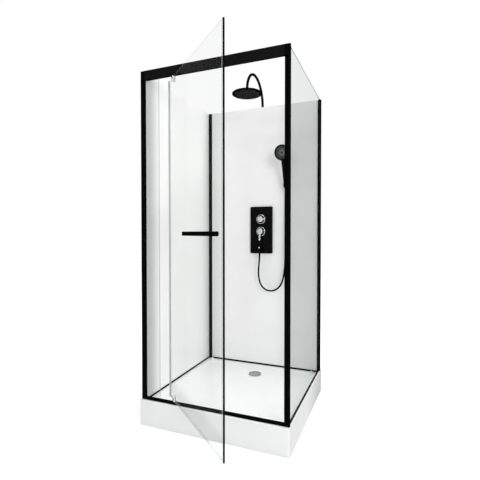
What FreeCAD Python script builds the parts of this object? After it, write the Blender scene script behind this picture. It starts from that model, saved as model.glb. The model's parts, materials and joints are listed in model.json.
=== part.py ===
import FreeCAD, Part
import math
import os

# Square shower cabin with an off-set pivot door, wall panels, a control plate, a hand shower and a rain head.
# Frame: +X to the right along the front, +Y into the depth, +Z up. The origin is under the tray's centre foot.
# All sizes are in millimetres and all angles in degrees.

V = FreeCAD.Vector
os.makedirs("parts", exist_ok=True)

# Cabin
tray_side = 900
rim_height = 149
frame_side_margin = 5
frame_back_margin = 16
front_setback = 14
cabin_top = 2061
channel_gap = 0.3
running_gap = 0.05
seat_gap = 0.3
overrun = 4

# Tray
tray_wall = 5
skirt_gap = 1
rim_width = 45
ledge_drop = 18
floor_edge_height = 119
floor_low_height = 112
basin_lean = 12
basin_corner_radius = 50
tray_corner_radius = 10
tray_edge_radius = 4
rib_thickness = 4
rib_depth = 30
foot_margin = 90
boss_radius = 18
boss_depth = 46
stud_radius = 5
pad_radius = 25
pad_height = 8
pad_neck_height = 6
pad_neck_radius = 11
lock_nut_width = 17
lock_nut_height = 8
pipe_notch_width = 110
pipe_notch_height = 80

# Waste
drain_margin = 134
drain_hole_radius = 31
drain_flange_radius = 42
drain_flange_thickness = 2.5
drain_sleeve_wall = 2
drain_sleeve_length = 24
drain_cap_radius = 45
drain_cap_thickness = 4
drain_cap_gap = 2.5
drain_cap_bevel = 2
drain_boss_depth = 6
drain_boss_radius = 52
cap_leg_radius = 3
cap_leg_length = 14
gasket_thickness = 3
trap_flange_radius = 50
trap_flange_thickness = 5
trap_radius = 40
trap_wall = 3
trap_floor_height = 20
spigot_radius = 20
spigot_wall = 2
spigot_length = 40
spigot_free_length = 30
spigot_collar = 4
spigot_height = 45

# Aluminium profiles
post_face = 27
right_post_face = 32
post_depth = 15
profile_wall = 1.8
fin_thickness = 1.6
fin_length = 14
fin_lip = 3
top_rail_height = 55
sill_height = 15
rebate_width = 18
rebate_flange = 3
jamb_magnet_thickness = 1.7
jamb_magnet_width = 9
corner_tube = 14
corner_flange_right = 9
corner_flange_left = 24
bottom_rail_height = 12
side_rail_height = 6
bottom_rail_base = 2
key_length = 34
screw_radius = 2
screw_head_radius = 4
screw_head_height = 1.6
screw_length = 9

# Panels and glass
panel_inset = 7
wall_panel_thickness = 5
glass_thickness = 6
glass_groove_depth = 8
sill_groove_depth = 6

# Door, modelled shut and then turned open about the pivot
door_open_angle = 40.18
pivot_inset = 218.5
pivot_setback = 6
door_end_gap = 1.5
door_tail = 88
door_head_gap = 2.5
door_foot_gap = 2.5
fixed_pane_gap = 9
edge_seal_depth = 12
edge_seal_wall = 1
magnet_strip_thickness = 5
tail_seal_lip = 4
tail_seal_lip_thickness = 2
drip_seal_grip = 8
drip_seal_drop = 4
clamp_width = 18
clamp_height = 32
clamp_thickness = 7
clamp_corner_radius = 3
clamp_web_width = 12
clamp_web_height = 11
glass_notch_gap = 0.5
pivot_pin_radius = 4
pivot_pin_reach = 12
bush_wall = 2
bush_flange_radius = 8
bush_flange_thickness = 2.2
clamp_screw_radius = 2.5
clamp_screw_head_radius = 4.5
clamp_screw_head_height = 2
clamp_screw_margin = 9

# Door handle
handle_length = 436
handle_height = 21
handle_thickness = 8
handle_bevel = 2
handle_stand_off = 22
handle_centre_height = 1122
handle_end_margin = 15
handle_post_radius = 8
handle_post_margin = 62
handle_washer_thickness = 1
handle_screw_radius = 3
handle_cap_radius = 10
handle_cap_height = 4

# Control plate and valve
service_x = 7
plate_width = 170
plate_height = 348
plate_depth = 18
plate_rise = 11
plate_corner_radius = 8
plate_edge_radius = 2
plate_wall = 2.5
mixer_height = 1136
tap_spacing = 91
outlet_drop = 119
manifold_width = 46
manifold_depth = 21
manifold_margin = 26
barrel_radius = 17
barrel_reach = 5
barrel_bore_radius = 15
clamp_nut_radius = 22
clamp_nut_thickness = 5
inlet_spacing = 150
inlet_drop = 74
inlet_arm_radius = 8.5
inlet_radius = 10.48
inlet_length = 16
inlet_bore_radius = 7
inlet_setback = 12.4
inlet_block_width = 26
inlet_block_margin = 0.1
cartridge_head = 4
spindle_radius = 4.5
spindle_length = 18
escutcheon_radius = 35
escutcheon_thickness = 11
escutcheon_bevel = 2
knob_radius = 23
knob_depth = 20
knob_bevel = 4
grip_height = 11
grip_reach = 37
grip_depth = 12
lever_hub_radius = 23
lever_hub_depth = 12
lever_width = 12
lever_thickness = 7
lever_length = 68
lever_lean = 8
lever_lift_angle = 20
lever_lift_margin = 2
lever_cap_depth = 12
lever_pivot_radius = 2.5
lever_lug_width = 9
outlet_nipple_radius = 9
elbow_radius = 11
elbow_reach = 34
elbow_drop = 10
elbow_cap_radius = 5
elbow_cap_depth = 2
hose_nut_radius = 11
hose_nut_length = 22

# Shower hose: each point lies to the right of the outlet, out from the wall and above the lower nut's end
hose_radius = 6
hose_route = [
    (0, 52, 0),
    (-1, 52, -49),
    (-8, 52, -102),
    (-9, 51, -169),
    (8, 50, -234),
    (45, 49, -268),
    (92, 48, -275),
    (137, 46, -257),
    (167, 42, -215),
    (182, 37, -152),
    (189, 32, -64),
    (188, 26, 56),
    (187, 21, 186),
    (188, 17, 316),
]
hose_last_run = 55
hose_arc_share = 0.45

# Hand shower and its holder
handset_x = 200
handset_lean = 19.3
handset_setback = 37
handset_rise = 308
cone_length = 58
cone_small_radius = 9
cone_large_radius = 12
cone_grip_length = 12
handle_tube_radius = 12
handle_tube_top_radius = 14
handle_tube_length = 145
head_radius = 55
head_depth = 20
head_face_turn = 76
head_bevel = 6
head_neck_depth = 26
head_plate_radius = 48
head_plate_thickness = 2
head_nozzle_width = 2.4
head_nozzle_height = 1.6
head_button_radius = 9
head_ring_count = 3
head_ring_first_nozzles = 8
head_ring_margin_share = 0.5
holder_plate_radius = 22
holder_plate_thickness = 8
holder_arm_radius = 10
holder_ring_height = 28
holder_ring_wall = 4
holder_slot_width = 15
holder_screw_spread = 28

# Rain head and its arm
arm_radius = 9
arm_wall = 1.5
arm_bend_radius = 164
arm_bend_height = 2072
arm_bend_stop = 7
arm_wall_gap = 2
arm_plug_length = 10
ball_radius = 7.5
ball_stem_radius = 4.5
ball_stem_length = 7
ball_neck_share = 0.5
ring_shell = 1.2
ring_hole_radius = 3
swivel_nut_width = 24
head_hub_radius = 28
head_hub_height = 7
rain_head_radius = 100
rain_head_rim = 9
rain_head_bevel = 3
rain_plate_margin = 6
rain_plate_thickness = 2
nozzle_pitch = 19
nozzle_width = 5
nozzle_height = 2.5
nozzle_field_radius = 84
clip_width = 34
clip_height = 16
clip_thickness = 2
clip_drop = 120

# Places that follow from the driving dimensions
half_tray = tray_side / 2
cabin_width = tray_side - 2 * frame_side_margin
cabin_depth = tray_side - front_setback - frame_back_margin
foot_reach = half_tray - foot_margin
frame_left = -cabin_width / 2
frame_right = cabin_width / 2
frame_front = -half_tray + front_setback
frame_back = frame_front + cabin_depth
ledge_height = rim_height - ledge_drop
basin_half = half_tray - rim_width
drain_y = basin_half - drain_margin
wall_inner_left = frame_left + panel_inset + wall_panel_thickness
wall_inner_back = frame_back - panel_inset - wall_panel_thickness
wall_outer_back = frame_back - panel_inset
rail_bottom = cabin_top - top_rail_height
sill_top = rim_height + sill_height
post_back = frame_front + post_depth
pivot_y = frame_front + pivot_setback
pane_front = pivot_y - glass_thickness / 2
pane_back = pivot_y + glass_thickness / 2
door_top = rail_bottom - door_head_gap
door_bottom = sill_top + door_foot_gap
pivot_x = frame_left + pivot_inset
door_reach = frame_right - right_post_face + rebate_width - door_end_gap - pivot_x
plate_front = wall_inner_back - plate_depth
diverter_height = mixer_height + tap_spacing
outlet_height = mixer_height - outlet_drop
plate_centre_height = mixer_height + plate_rise
inlet_arm_height = mixer_height - inlet_drop
handset_foot_y = wall_inner_back - handset_setback
handset_foot_height = mixer_height + handset_rise
riser_y = wall_outer_back + arm_wall_gap + arm_radius


# The hand shower stands on an axis that leans towards the room
lean = math.radians(handset_lean)
handset_axis = V(0, -math.sin(lean), math.cos(lean))
handset_foot = V(handset_x, handset_foot_y, handset_foot_height)


def on_axis(distance):
    return handset_foot + handset_axis * distance


def box(x0, x1, y0, y1, z0, z1):
    return Part.makeBox(x1 - x0, y1 - y0, z1 - z0, V(x0, y0, z0))


def rod(radius, start, end):
    return Part.makeCylinder(radius, (end - start).Length, start, end - start)


def cone(radius_a, radius_b, start, end):
    return Part.makeCone(radius_a, radius_b, (end - start).Length, start, end - start)


def joined(shapes):
    return shapes[0].fuse(shapes[1:]).removeSplitter()


def polygon_prism(points, z0, z1):
    corners = [V(x, y, z0) for x, y in points]
    wire = Part.makePolygon(corners + corners[:1])
    return Part.Face(wire).extrude(V(0, 0, z1 - z0))


def rounded_slab(half_x, half_y, radius, z0, z1, centre=V(0, 0, 0)):
    slab = box(centre.x - half_x, centre.x + half_x, centre.y - half_y, centre.y + half_y, z0, z1)
    upright = [e for e in slab.Edges if abs(e.tangentAt(e.FirstParameter).z) > math.cos(math.radians(1))]
    return slab.makeFillet(radius, upright)


def edges_at(shape, axis, value):
    found = []
    for edge in shape.Edges:
        points = [edge.valueAt(edge.FirstParameter), edge.valueAt(edge.LastParameter), edge.CenterOfMass]
        if all(abs(point[axis] - value) < running_gap for point in points):
            found.append(edge)
    return found


def peg(width, foot, direction, height, side):
    radius = width / math.sqrt(3)
    up = side.cross(direction)
    corners = []
    for k in range(6):
        turn = math.radians(60 * k)
        corners.append(foot + side * (radius * math.cos(turn)) + up * (radius * math.sin(turn)))
    return Part.Face(Part.makePolygon(corners + corners[:1])).extrude(direction * height)


def hexagon(width, z0, z1, centre):
    radius = width / math.sqrt(3)
    points = []
    for k in range(6):
        turn = math.radians(60 * k)
        points.append((centre.x + radius * math.cos(turn), centre.y + radius * math.sin(turn)))
    return polygon_prism(points, z0, z1)


def opened(shape):
    turned = shape.copy()
    turned.rotate(V(pivot_x, pivot_y, 0), V(0, 0, 1), -door_open_angle)
    return turned


def save(name, shape):
    solids = shape.Solids
    volume = sum(solid.Volume for solid in solids)
    valid = all(solid.isValid() for solid in solids)
    print(name, "solids", len(solids), "volume", round(volume), "valid", valid)
    shape.exportStep("parts/" + name + ".step")


def foot_places():
    places = [V(0, 0, 0)]
    for x in (-foot_reach, foot_reach):
        for y in (-foot_reach, foot_reach):
            places.append(V(x, y, 0))
    return places


# Tray and feet

boss_bottom = floor_low_height - tray_wall - boss_depth


def tray_basin():
    top_half = basin_half
    low_half = basin_half - basin_lean
    low_radius = basin_corner_radius - basin_lean
    wires = []
    for half, radius, z in ((low_half, low_radius, floor_edge_height), (top_half, basin_corner_radius, rim_height)):
        slab = rounded_slab(half, half, radius, z, z + overrun)
        face = min(slab.Faces, key=lambda f: f.CenterOfMass.z)
        wires.append(face.OuterWire)
    basin = Part.makeLoft(wires, True, True)
    square = drain_flange_radius + tray_wall
    low = [V(service_x + i * square, drain_y + j * square, floor_low_height) for i, j in
           ((-1, -1), (1, -1), (1, 1), (-1, 1))]
    high = [V(i * low_half, j * low_half, floor_edge_height) for i, j in ((-1, -1), (1, -1), (1, 1), (-1, 1))]
    fall = Part.makeLoft([Part.makePolygon(low + low[:1]), Part.makePolygon(high + high[:1])], True, True)
    bounds = rounded_slab(low_half, low_half, low_radius, floor_low_height - overrun, floor_edge_height)
    return joined([basin, fall.common(bounds)])


def shower_tray():
    body = rounded_slab(half_tray, half_tray, tray_corner_radius, skirt_gap, rim_height)
    body = body.makeFillet(tray_edge_radius, edges_at(body, 2, rim_height))
    body = body.cut(tray_basin())
    side_clear = frame_left - seat_gap
    back_clear = frame_back + seat_gap
    inner = basin_half - basin_lean
    left_ledge = box(side_clear, -inner, post_back, back_clear, ledge_height, rim_height + overrun)
    back_ledge = box(side_clear, -side_clear, inner, back_clear, ledge_height, rim_height + overrun)
    half, slot, seat = channel_rail(rim_height, glass_thickness)
    upstand = frame_right - panel_inset - glass_thickness / 2 - half - seat_gap
    right_ledge = box(inner, upstand, post_back, back_clear, ledge_height, rim_height + overrun)
    body = body.cut(left_ledge.fuse([back_ledge, right_ledge]))
    inside = half_tray - tray_wall
    hollow_top = floor_low_height - tray_wall
    ring = basin_half + tray_wall
    corner = inner - tray_wall
    hollows = [
        box(-inside, inside, -inside, inside, -overrun, hollow_top),
        box(-inside, -ring, -inside, inside, 0, ledge_height - tray_wall),
        box(ring, inside, -inside, inside, 0, ledge_height - tray_wall),
        box(-inside, inside, ring, inside, 0, ledge_height - tray_wall),
        box(-inside, inside, -inside, -ring, 0, ledge_height - tray_wall),
        box(-corner, corner, -inside, -ring, 0, rim_height - tray_wall),
        box(upstand + tray_wall, inside, -inside, corner, 0, rim_height - tray_wall),
    ]
    body = body.cut(hollows)
    drain_boss_bottom = hollow_top - drain_boss_depth
    drain_boss = rod(drain_boss_radius, V(service_x, drain_y, drain_boss_bottom), V(service_x, drain_y, hollow_top))
    body = joined([body, drain_boss])
    cuts = []
    seat_floor = floor_low_height - drain_flange_thickness
    cuts.append(rod(drain_flange_radius + seat_gap, V(service_x, drain_y, seat_floor),
                    V(service_x, drain_y, floor_low_height + overrun)))
    cuts.append(rod(drain_hole_radius + seat_gap, V(service_x, drain_y, drain_boss_bottom - overrun),
                    V(service_x, drain_y, floor_low_height)))
    notch_half = pipe_notch_width / 2
    cuts.append(box(service_x - notch_half, service_x + notch_half, inside - overrun, half_tray + overrun,
                    -overrun, pipe_notch_height))
    return body.cut(cuts)


def tray_support():
    reach = half_tray - tray_wall - seat_gap
    top = floor_low_height - tray_wall
    rib_bottom = top - rib_depth
    rib_half = rib_thickness / 2
    drain_near = drain_y - drain_boss_radius - tray_wall
    ribs = []
    for place in (-foot_reach, 0, foot_reach):
        ribs.append(box(-reach, reach, place - rib_half, place + rib_half, rib_bottom, top))
        far_end = drain_near if place == 0 else reach
        ribs.append(box(place - rib_half, place + rib_half, -reach, far_end, rib_bottom, top))
    bores = []
    for place in foot_places():
        ribs.append(rod(boss_radius, V(place.x, place.y, boss_bottom), V(place.x, place.y, top)))
        bores.append(rod(stud_radius + running_gap, V(place.x, place.y, boss_bottom - overrun),
                         V(place.x, place.y, top + overrun)))
    return joined(ribs).cut(bores)


def tray_feet():
    feet = []
    for place in foot_places():
        pad = rod(pad_radius, place, place + V(0, 0, pad_height))
        neck_top = pad_height + pad_neck_height
        neck = cone(pad_radius - pad_neck_height, pad_neck_radius, place + V(0, 0, pad_height),
                    place + V(0, 0, neck_top))
        stud = rod(stud_radius, place + V(0, 0, neck_top), place + V(0, 0, boss_bottom + boss_depth - tray_wall))
        feet.append(joined([pad, neck, stud]))
    return Part.makeCompound(feet)


def foot_lock_nuts():
    nuts = []
    for place in foot_places():
        nut = hexagon(lock_nut_width, boss_bottom - lock_nut_height, boss_bottom, place)
        bore = rod(stud_radius + running_gap, place, place + V(0, 0, boss_bottom + overrun))
        nuts.append(nut.cut(bore))
    return Part.makeCompound(nuts)


# Waste

drain_axis = V(service_x, drain_y, 0)
drain_boss_low = floor_low_height - tray_wall - drain_boss_depth
trap_top = drain_boss_low - gasket_thickness


def drain_flange():
    seat = floor_low_height - drain_flange_thickness
    ring = rod(drain_flange_radius, drain_axis + V(0, 0, seat), drain_axis + V(0, 0, floor_low_height))
    sleeve = rod(drain_hole_radius, drain_axis + V(0, 0, seat - drain_sleeve_length), drain_axis + V(0, 0, seat))
    bore_radius = drain_hole_radius - drain_sleeve_wall
    bore = rod(bore_radius, drain_axis, drain_axis + V(0, 0, floor_low_height + overrun))
    bar = box(service_x - bore_radius, service_x + bore_radius, drain_y - drain_sleeve_wall,
              drain_y + drain_sleeve_wall, seat - drain_sleeve_wall, seat)
    hub = rod(cap_leg_radius + drain_sleeve_wall, drain_axis + V(0, 0, seat - cap_leg_length),
              drain_axis + V(0, 0, seat))
    hole = rod(cap_leg_radius + running_gap, drain_axis, drain_axis + V(0, 0, floor_low_height + overrun))
    return joined([ring.fuse(sleeve).cut(bore), bar, hub]).cut(hole)


def drain_gasket():
    ring = rod(trap_flange_radius, drain_axis + V(0, 0, trap_top), drain_axis + V(0, 0, drain_boss_low))
    return ring.cut(rod(drain_hole_radius + seat_gap, drain_axis, drain_axis + V(0, 0, floor_low_height)))


def waste_trap():
    flange = rod(trap_flange_radius, drain_axis + V(0, 0, trap_top - trap_flange_thickness),
                 drain_axis + V(0, 0, trap_top))
    cup = rod(trap_radius, drain_axis + V(0, 0, trap_floor_height), drain_axis + V(0, 0, trap_top))
    spigot_start = drain_axis + V(0, 0, spigot_height)
    spigot_end = spigot_start + V(0, trap_radius + spigot_length, 0)
    spigot = rod(spigot_radius, spigot_start, spigot_end)
    collar = rod(spigot_radius + spigot_collar, spigot_start, spigot_end - V(0, spigot_free_length, 0))
    hollow = rod(trap_radius - trap_wall, drain_axis + V(0, 0, trap_floor_height + trap_wall),
                 drain_axis + V(0, 0, trap_top + overrun))
    bore = rod(spigot_radius - spigot_wall, spigot_start, spigot_end + V(0, overrun, 0))
    return joined([flange, cup, spigot, collar]).cut([hollow, bore])


def drain_cover():
    low = floor_low_height + drain_cap_gap
    cap = rod(drain_cap_radius, drain_axis + V(0, 0, low), drain_axis + V(0, 0, low + drain_cap_thickness))
    cap = cap.makeChamfer(drain_cap_bevel, edges_at(cap, 2, low + drain_cap_thickness))
    leg = rod(cap_leg_radius, drain_axis + V(0, 0, low - cap_leg_length), drain_axis + V(0, 0, low))
    collar = rod(cap_leg_radius + drain_sleeve_wall, drain_axis + V(0, 0, floor_low_height - drain_flange_thickness),
                 drain_axis + V(0, 0, low))
    return joined([cap, leg, collar])


# Profiles of the frame

def front_post(side):
    outer = frame_left if side < 0 else frame_right

    def across(distance):
        return outer - side * distance

    def strip(u0, u1, y0, y1, low=rim_height, high=cabin_top):
        x0, x1 = sorted((across(u0), across(u1)))
        return box(x0, x1, y0, y1, low, high)

    face = post_face if side < 0 else right_post_face
    tube = strip(0, face, frame_front, post_back)
    if side < 0:
        cavity_end = face - glass_groove_depth - profile_wall
        pocket = strip(face - glass_groove_depth, face + overrun, pane_front - channel_gap,
                       pane_back + channel_gap)
        panel = wall_panel_thickness
    else:
        cavity_end = face - rebate_width - profile_wall
        pocket = strip(face - rebate_width, face + overrun, frame_front - overrun,
                       post_back - rebate_flange, sill_top, rail_bottom)
        panel = glass_thickness
    cavity = strip(profile_wall, cavity_end, frame_front + profile_wall, post_back - profile_wall)
    fin_end = post_back + fin_length
    fin_low = rim_height if side < 0 else rim_height + side_rail_height + channel_gap
    outer_fin = strip(panel_inset - channel_gap - fin_thickness, panel_inset - channel_gap, post_back, fin_end,
                      fin_low)
    inner_start = panel_inset + panel + channel_gap
    inner_fin = strip(inner_start, inner_start + fin_thickness, post_back, fin_end, fin_low)
    return joined([tube.cut([cavity, pocket]), outer_fin, inner_fin])


def jamb_magnet():
    x1 = frame_right - right_post_face + rebate_width
    x0 = x1 - jamb_magnet_width
    y1 = post_back - rebate_flange
    return box(x0, x1, y1 - jamb_magnet_thickness, y1, door_bottom, door_top)


def rail_span():
    return frame_left + post_face, frame_right - right_post_face


def bush_hole(z0, z1):
    return rod(pivot_pin_radius + running_gap + bush_wall, V(pivot_x, pivot_y, z0), V(pivot_x, pivot_y, z1))


def top_rail():
    x0, x1 = rail_span()
    bar = box(x0, x1, frame_front, post_back, rail_bottom, cabin_top)
    floor = rail_bottom + glass_groove_depth + profile_wall
    cavity = box(x0 - overrun, x1 + overrun, frame_front + profile_wall, post_back - profile_wall, floor,
                 cabin_top - profile_wall)
    groove = box(x0 - overrun, fixed_pane_end() + channel_gap, pane_front - channel_gap, pane_back + channel_gap,
                 rail_bottom - overrun, rail_bottom + glass_groove_depth)
    holes = [cavity, groove, bush_hole(rail_bottom - overrun, floor + overrun)]
    for place in key_places():
        if place.z > sill_top:
            holes.append(key_screw_hole(place))
    return bar.cut(holes)


def bottom_sill():
    x0, x1 = rail_span()
    bar = box(x0, x1, frame_front, post_back, rim_height, sill_top)
    cavity = box(x0 - overrun, x1 + overrun, frame_front + profile_wall, post_back - profile_wall,
                 rim_height + profile_wall, sill_top - profile_wall)
    groove = box(x0 - overrun, fixed_pane_end() + channel_gap, pane_front - channel_gap, pane_back + channel_gap,
                 sill_top - sill_groove_depth, sill_top + overrun)
    holes = [cavity, groove, bush_hole(sill_top - sill_groove_depth, sill_top + overrun)]
    for place in key_places():
        if place.z < sill_top:
            holes.append(key_screw_hole(place))
    return bar.cut(holes)


def key_places():
    x0, x1 = rail_span()
    places = []
    for x in (x0 + key_length / 2, x1 - key_length / 2):
        for z in ((rim_height + sill_top - sill_groove_depth + profile_wall) / 2,
                  (rail_bottom + glass_groove_depth + cabin_top) / 2):
            places.append(V(x, post_back, z))
    return places


def key_screw_hole(place):
    return rod(screw_radius + running_gap, place + V(0, overrun, 0), place - V(0, profile_wall + overrun, 0))


def corner_keys():
    x0, x1 = rail_span()
    keys = []
    low = (rim_height + profile_wall + channel_gap, sill_top - sill_groove_depth - channel_gap)
    high = (rail_bottom + glass_groove_depth + profile_wall + channel_gap, cabin_top - profile_wall - channel_gap)
    for z0, z1 in (low, high):
        for a, b in ((x0, x0 + key_length), (x1 - key_length, x1)):
            key = box(a, b, frame_front + profile_wall + channel_gap, post_back - profile_wall - channel_gap, z0, z1)
            keys.append(key)
    drills = []
    for place in key_places():
        drills.append(rod(screw_radius + running_gap, place, place - V(0, screw_length + running_gap, 0)))
    return Part.makeCompound([key.cut(drills) for key in keys])


def pan_head_screws():
    screws = []
    for place in key_places() + holder_screw_places():
        shank = rod(screw_radius, place - V(0, screw_length, 0), place)
        head = rod(screw_head_radius, place, place + V(0, screw_head_height, 0))
        screws.append(joined([shank, head]))
    return Part.makeCompound(screws)


def back_left_post():
    a = corner_tube
    g = channel_gap
    f = fin_thickness
    p = panel_inset
    q = panel_inset + wall_panel_thickness
    x = frame_left
    y = frame_back
    top = cabin_top
    low = ledge_height
    fin_low = low + bottom_rail_height + channel_gap
    tube = box(x, x + a, y - a, y, low, top)
    cavity = box(x + profile_wall, x + a - profile_wall, y - a + profile_wall, y - profile_wall, low - overrun,
                 top + overrun)
    fins = [
        box(x + p - g - f, x + p - g, y - a - fin_length, y - a, fin_low, top),
        box(x + q + g, x + q + g + f, y - a - fin_lip, y - a, fin_low, top),
        box(x + a, x + a + corner_flange_left, y - q - g - f, y - q - g, fin_low, top),
        box(x + a, x + a + fin_length, y - p + g, y - p + g + f, fin_low, top),
    ]
    return joined([tube.cut(cavity)] + fins)


def back_right_post():
    a = corner_tube
    g = channel_gap
    f = fin_thickness
    p = panel_inset
    q = panel_inset + wall_panel_thickness
    r = panel_inset + glass_thickness
    x = frame_right
    y = frame_back
    top = cabin_top
    low = ledge_height
    fin_low = low + bottom_rail_height + channel_gap
    glass_fin_low = rim_height + side_rail_height + channel_gap
    tube = box(x - a, x, y - a, y, low, top)
    cavity = box(x - a + profile_wall, x - profile_wall, y - a + profile_wall, y - profile_wall, low - overrun,
                 top + overrun)
    fins = [
        box(x - p + g, x - p + g + f, y - a - fin_length, y - a, glass_fin_low, top),
        box(x - r - g - f, x - r - g, y - a - fin_length, y - a, glass_fin_low, top),
        box(x - a - corner_flange_right, x - a, y - q - g - f, y - q - g, fin_low, top),
        box(x - a - corner_flange_right, x - a, y - p + g, y - p + g + f, fin_low, top),
    ]
    return joined([tube.cut(cavity)] + fins)


def channel_rail(z0, thickness):
    half = thickness / 2 + channel_gap + fin_thickness
    slot = thickness / 2 + channel_gap
    return half, slot, z0 + bottom_rail_base


def left_rail():
    middle = frame_left + panel_inset + wall_panel_thickness / 2
    half, slot, seat = channel_rail(ledge_height, wall_panel_thickness)
    end = frame_back - corner_tube
    bar = box(middle - half, middle + half, post_back, end, ledge_height, ledge_height + bottom_rail_height)
    return bar.cut(box(middle - slot, middle + slot, post_back - overrun, end + overrun, seat,
                       ledge_height + bottom_rail_height + overrun))


def back_rail():
    middle = frame_back - panel_inset - wall_panel_thickness / 2
    half, slot, seat = channel_rail(ledge_height, wall_panel_thickness)
    x0 = frame_left + corner_tube
    x1 = frame_right - corner_tube
    bar = box(x0, x1, middle - half, middle + half, ledge_height, ledge_height + bottom_rail_height)
    return bar.cut(box(x0 - overrun, x1 + overrun, middle - slot, middle + slot, seat,
                       ledge_height + bottom_rail_height + overrun))


def right_rail():
    middle = frame_right - panel_inset - glass_thickness / 2
    half, slot, seat = channel_rail(rim_height, glass_thickness)
    start = post_back
    end = frame_back - corner_tube
    bar = box(middle - half, middle + half, start, end, rim_height, rim_height + side_rail_height)
    return bar.cut(box(middle - slot, middle + slot, start - overrun, end + overrun, seat,
                       rim_height + side_rail_height + overrun))


# Panels and fixed glass

def left_wall_panel():
    x0 = frame_left + panel_inset
    return box(x0, x0 + wall_panel_thickness, post_back + seat_gap, frame_back - corner_tube - seat_gap,
               ledge_height + bottom_rail_base, cabin_top)


def back_wall_panel():
    x0 = frame_left + corner_tube + seat_gap
    x1 = frame_right - corner_tube - seat_gap
    panel = box(x0, x1, wall_inner_back, wall_outer_back, ledge_height + bottom_rail_base, cabin_top)
    holes = []
    for z, radius in ((diverter_height, barrel_radius), (mixer_height, barrel_radius),
                      (outlet_height, outlet_nipple_radius)):
        holes.append(rod(radius + seat_gap, V(service_x, wall_inner_back - overrun, z),
                         V(service_x, wall_outer_back + overrun, z)))
    for place in holder_screw_places():
        holes.append(rod(screw_radius + running_gap, place - V(0, 2 * wall_panel_thickness, 0),
                         place + V(0, overrun, 0)))
    return panel.cut(holes)


def right_side_glass():
    x1 = frame_right - panel_inset
    return box(x1 - glass_thickness, x1, post_back + seat_gap, frame_back - corner_tube - seat_gap,
               rim_height + bottom_rail_base, cabin_top)


def fixed_pane_end():
    return pivot_x - door_tail - fixed_pane_gap


def fixed_front_glass():
    x0 = frame_left + post_face - glass_groove_depth + seat_gap
    return box(x0, fixed_pane_end(), pane_front, pane_back, sill_top - sill_groove_depth + seat_gap,
               rail_bottom + glass_groove_depth - seat_gap)


# Door

glass_end = pivot_x + door_reach - magnet_strip_thickness
glass_tail = pivot_x - door_tail + tail_seal_lip
glass_bottom = door_bottom + drip_seal_drop


def clamp_screw_heights():
    return (glass_bottom + clamp_web_height + clamp_screw_margin, door_top - clamp_web_height - clamp_screw_margin)


def handle_posts():
    end = pivot_x + door_reach - handle_end_margin
    return (end - handle_length + handle_post_margin, end - handle_post_margin)


def door_glass():
    pane = box(glass_tail, glass_end, pane_front, pane_back, glass_bottom, door_top)
    half = clamp_web_width / 2 + glass_notch_gap
    cuts = []
    for z0, z1 in ((glass_bottom - overrun, glass_bottom + clamp_web_height + glass_notch_gap),
                   (door_top - clamp_web_height - glass_notch_gap, door_top + overrun)):
        cuts.append(box(pivot_x - half, pivot_x + half, pane_front - overrun, pane_back + overrun, z0, z1))
    for z in clamp_screw_heights():
        cuts.append(rod(clamp_screw_radius + glass_notch_gap, V(pivot_x, pane_front - overrun, z),
                        V(pivot_x, pane_back + overrun, z)))
    for x in handle_posts():
        cuts.append(rod(handle_screw_radius + glass_notch_gap, V(x, pane_front - overrun, handle_centre_height),
                        V(x, pane_back + overrun, handle_centre_height)))
    return pane.cut(cuts)


def door_edge_seal():
    outer = box(glass_end - edge_seal_depth, glass_end + edge_seal_wall, pane_front - edge_seal_wall,
                pane_back + edge_seal_wall, door_bottom, door_top)
    slot = box(glass_end - edge_seal_depth - overrun, glass_end, pane_front, pane_back, door_bottom - overrun,
               door_top + overrun)
    return outer.cut(slot)


def door_magnet_strip():
    start = glass_end + edge_seal_wall
    return box(start, pivot_x + door_reach, pane_front - edge_seal_wall, pane_back + edge_seal_wall, door_bottom,
               door_top)


def door_tail_seal():
    start = glass_tail - edge_seal_wall
    outer = box(start, glass_tail + edge_seal_depth, pane_front - edge_seal_wall, pane_back + edge_seal_wall,
                door_bottom, door_top)
    slot = box(glass_tail, glass_tail + edge_seal_depth + overrun, pane_front, pane_back, door_bottom - overrun,
               door_top + overrun)
    lip = box(pivot_x - door_tail, start, pane_front - edge_seal_wall,
              pane_front - edge_seal_wall + tail_seal_lip_thickness, door_bottom, door_top)
    return joined([outer.cut(slot), lip])


def door_drip_seal():
    x0 = glass_tail + edge_seal_depth + seat_gap
    x1 = glass_end - edge_seal_depth - seat_gap
    outer = box(x0, x1, pane_front - edge_seal_wall, pane_back + edge_seal_wall, door_bottom,
                glass_bottom + drip_seal_grip)
    slot = box(x0 - overrun, x1 + overrun, pane_front, pane_back, glass_bottom,
               glass_bottom + drip_seal_grip + overrun)
    half = clamp_width / 2 + seat_gap
    gap = box(pivot_x - half, pivot_x + half, pane_front - overrun, pane_back + overrun, door_bottom - overrun,
              glass_bottom + drip_seal_grip + overrun)
    return outer.cut([slot, gap])


def clamp_span(level):
    if level == "upper":
        return door_top - clamp_height, door_top
    return door_bottom, door_bottom + clamp_height


def rounded_clamp(y0, y1, z0, z1):
    half = clamp_width / 2
    plate = box(pivot_x - half, pivot_x + half, y0, y1, z0, z1)
    edges = [e for e in plate.Edges if abs(e.tangentAt(e.FirstParameter).y) > math.cos(math.radians(1))]
    return plate.makeFillet(clamp_corner_radius, edges)


def clamp_screw_axis(level):
    low, high = clamp_screw_heights()
    return high if level == "upper" else low


def pivot_pin_bore(level):
    z0, z1 = clamp_span(level)
    low, high = (z1 - clamp_web_height, z1 + overrun) if level == "upper" else (z0 - overrun, z0 + clamp_web_height)
    return rod(pivot_pin_radius, V(pivot_x, pivot_y, low), V(pivot_x, pivot_y, high))


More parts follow.
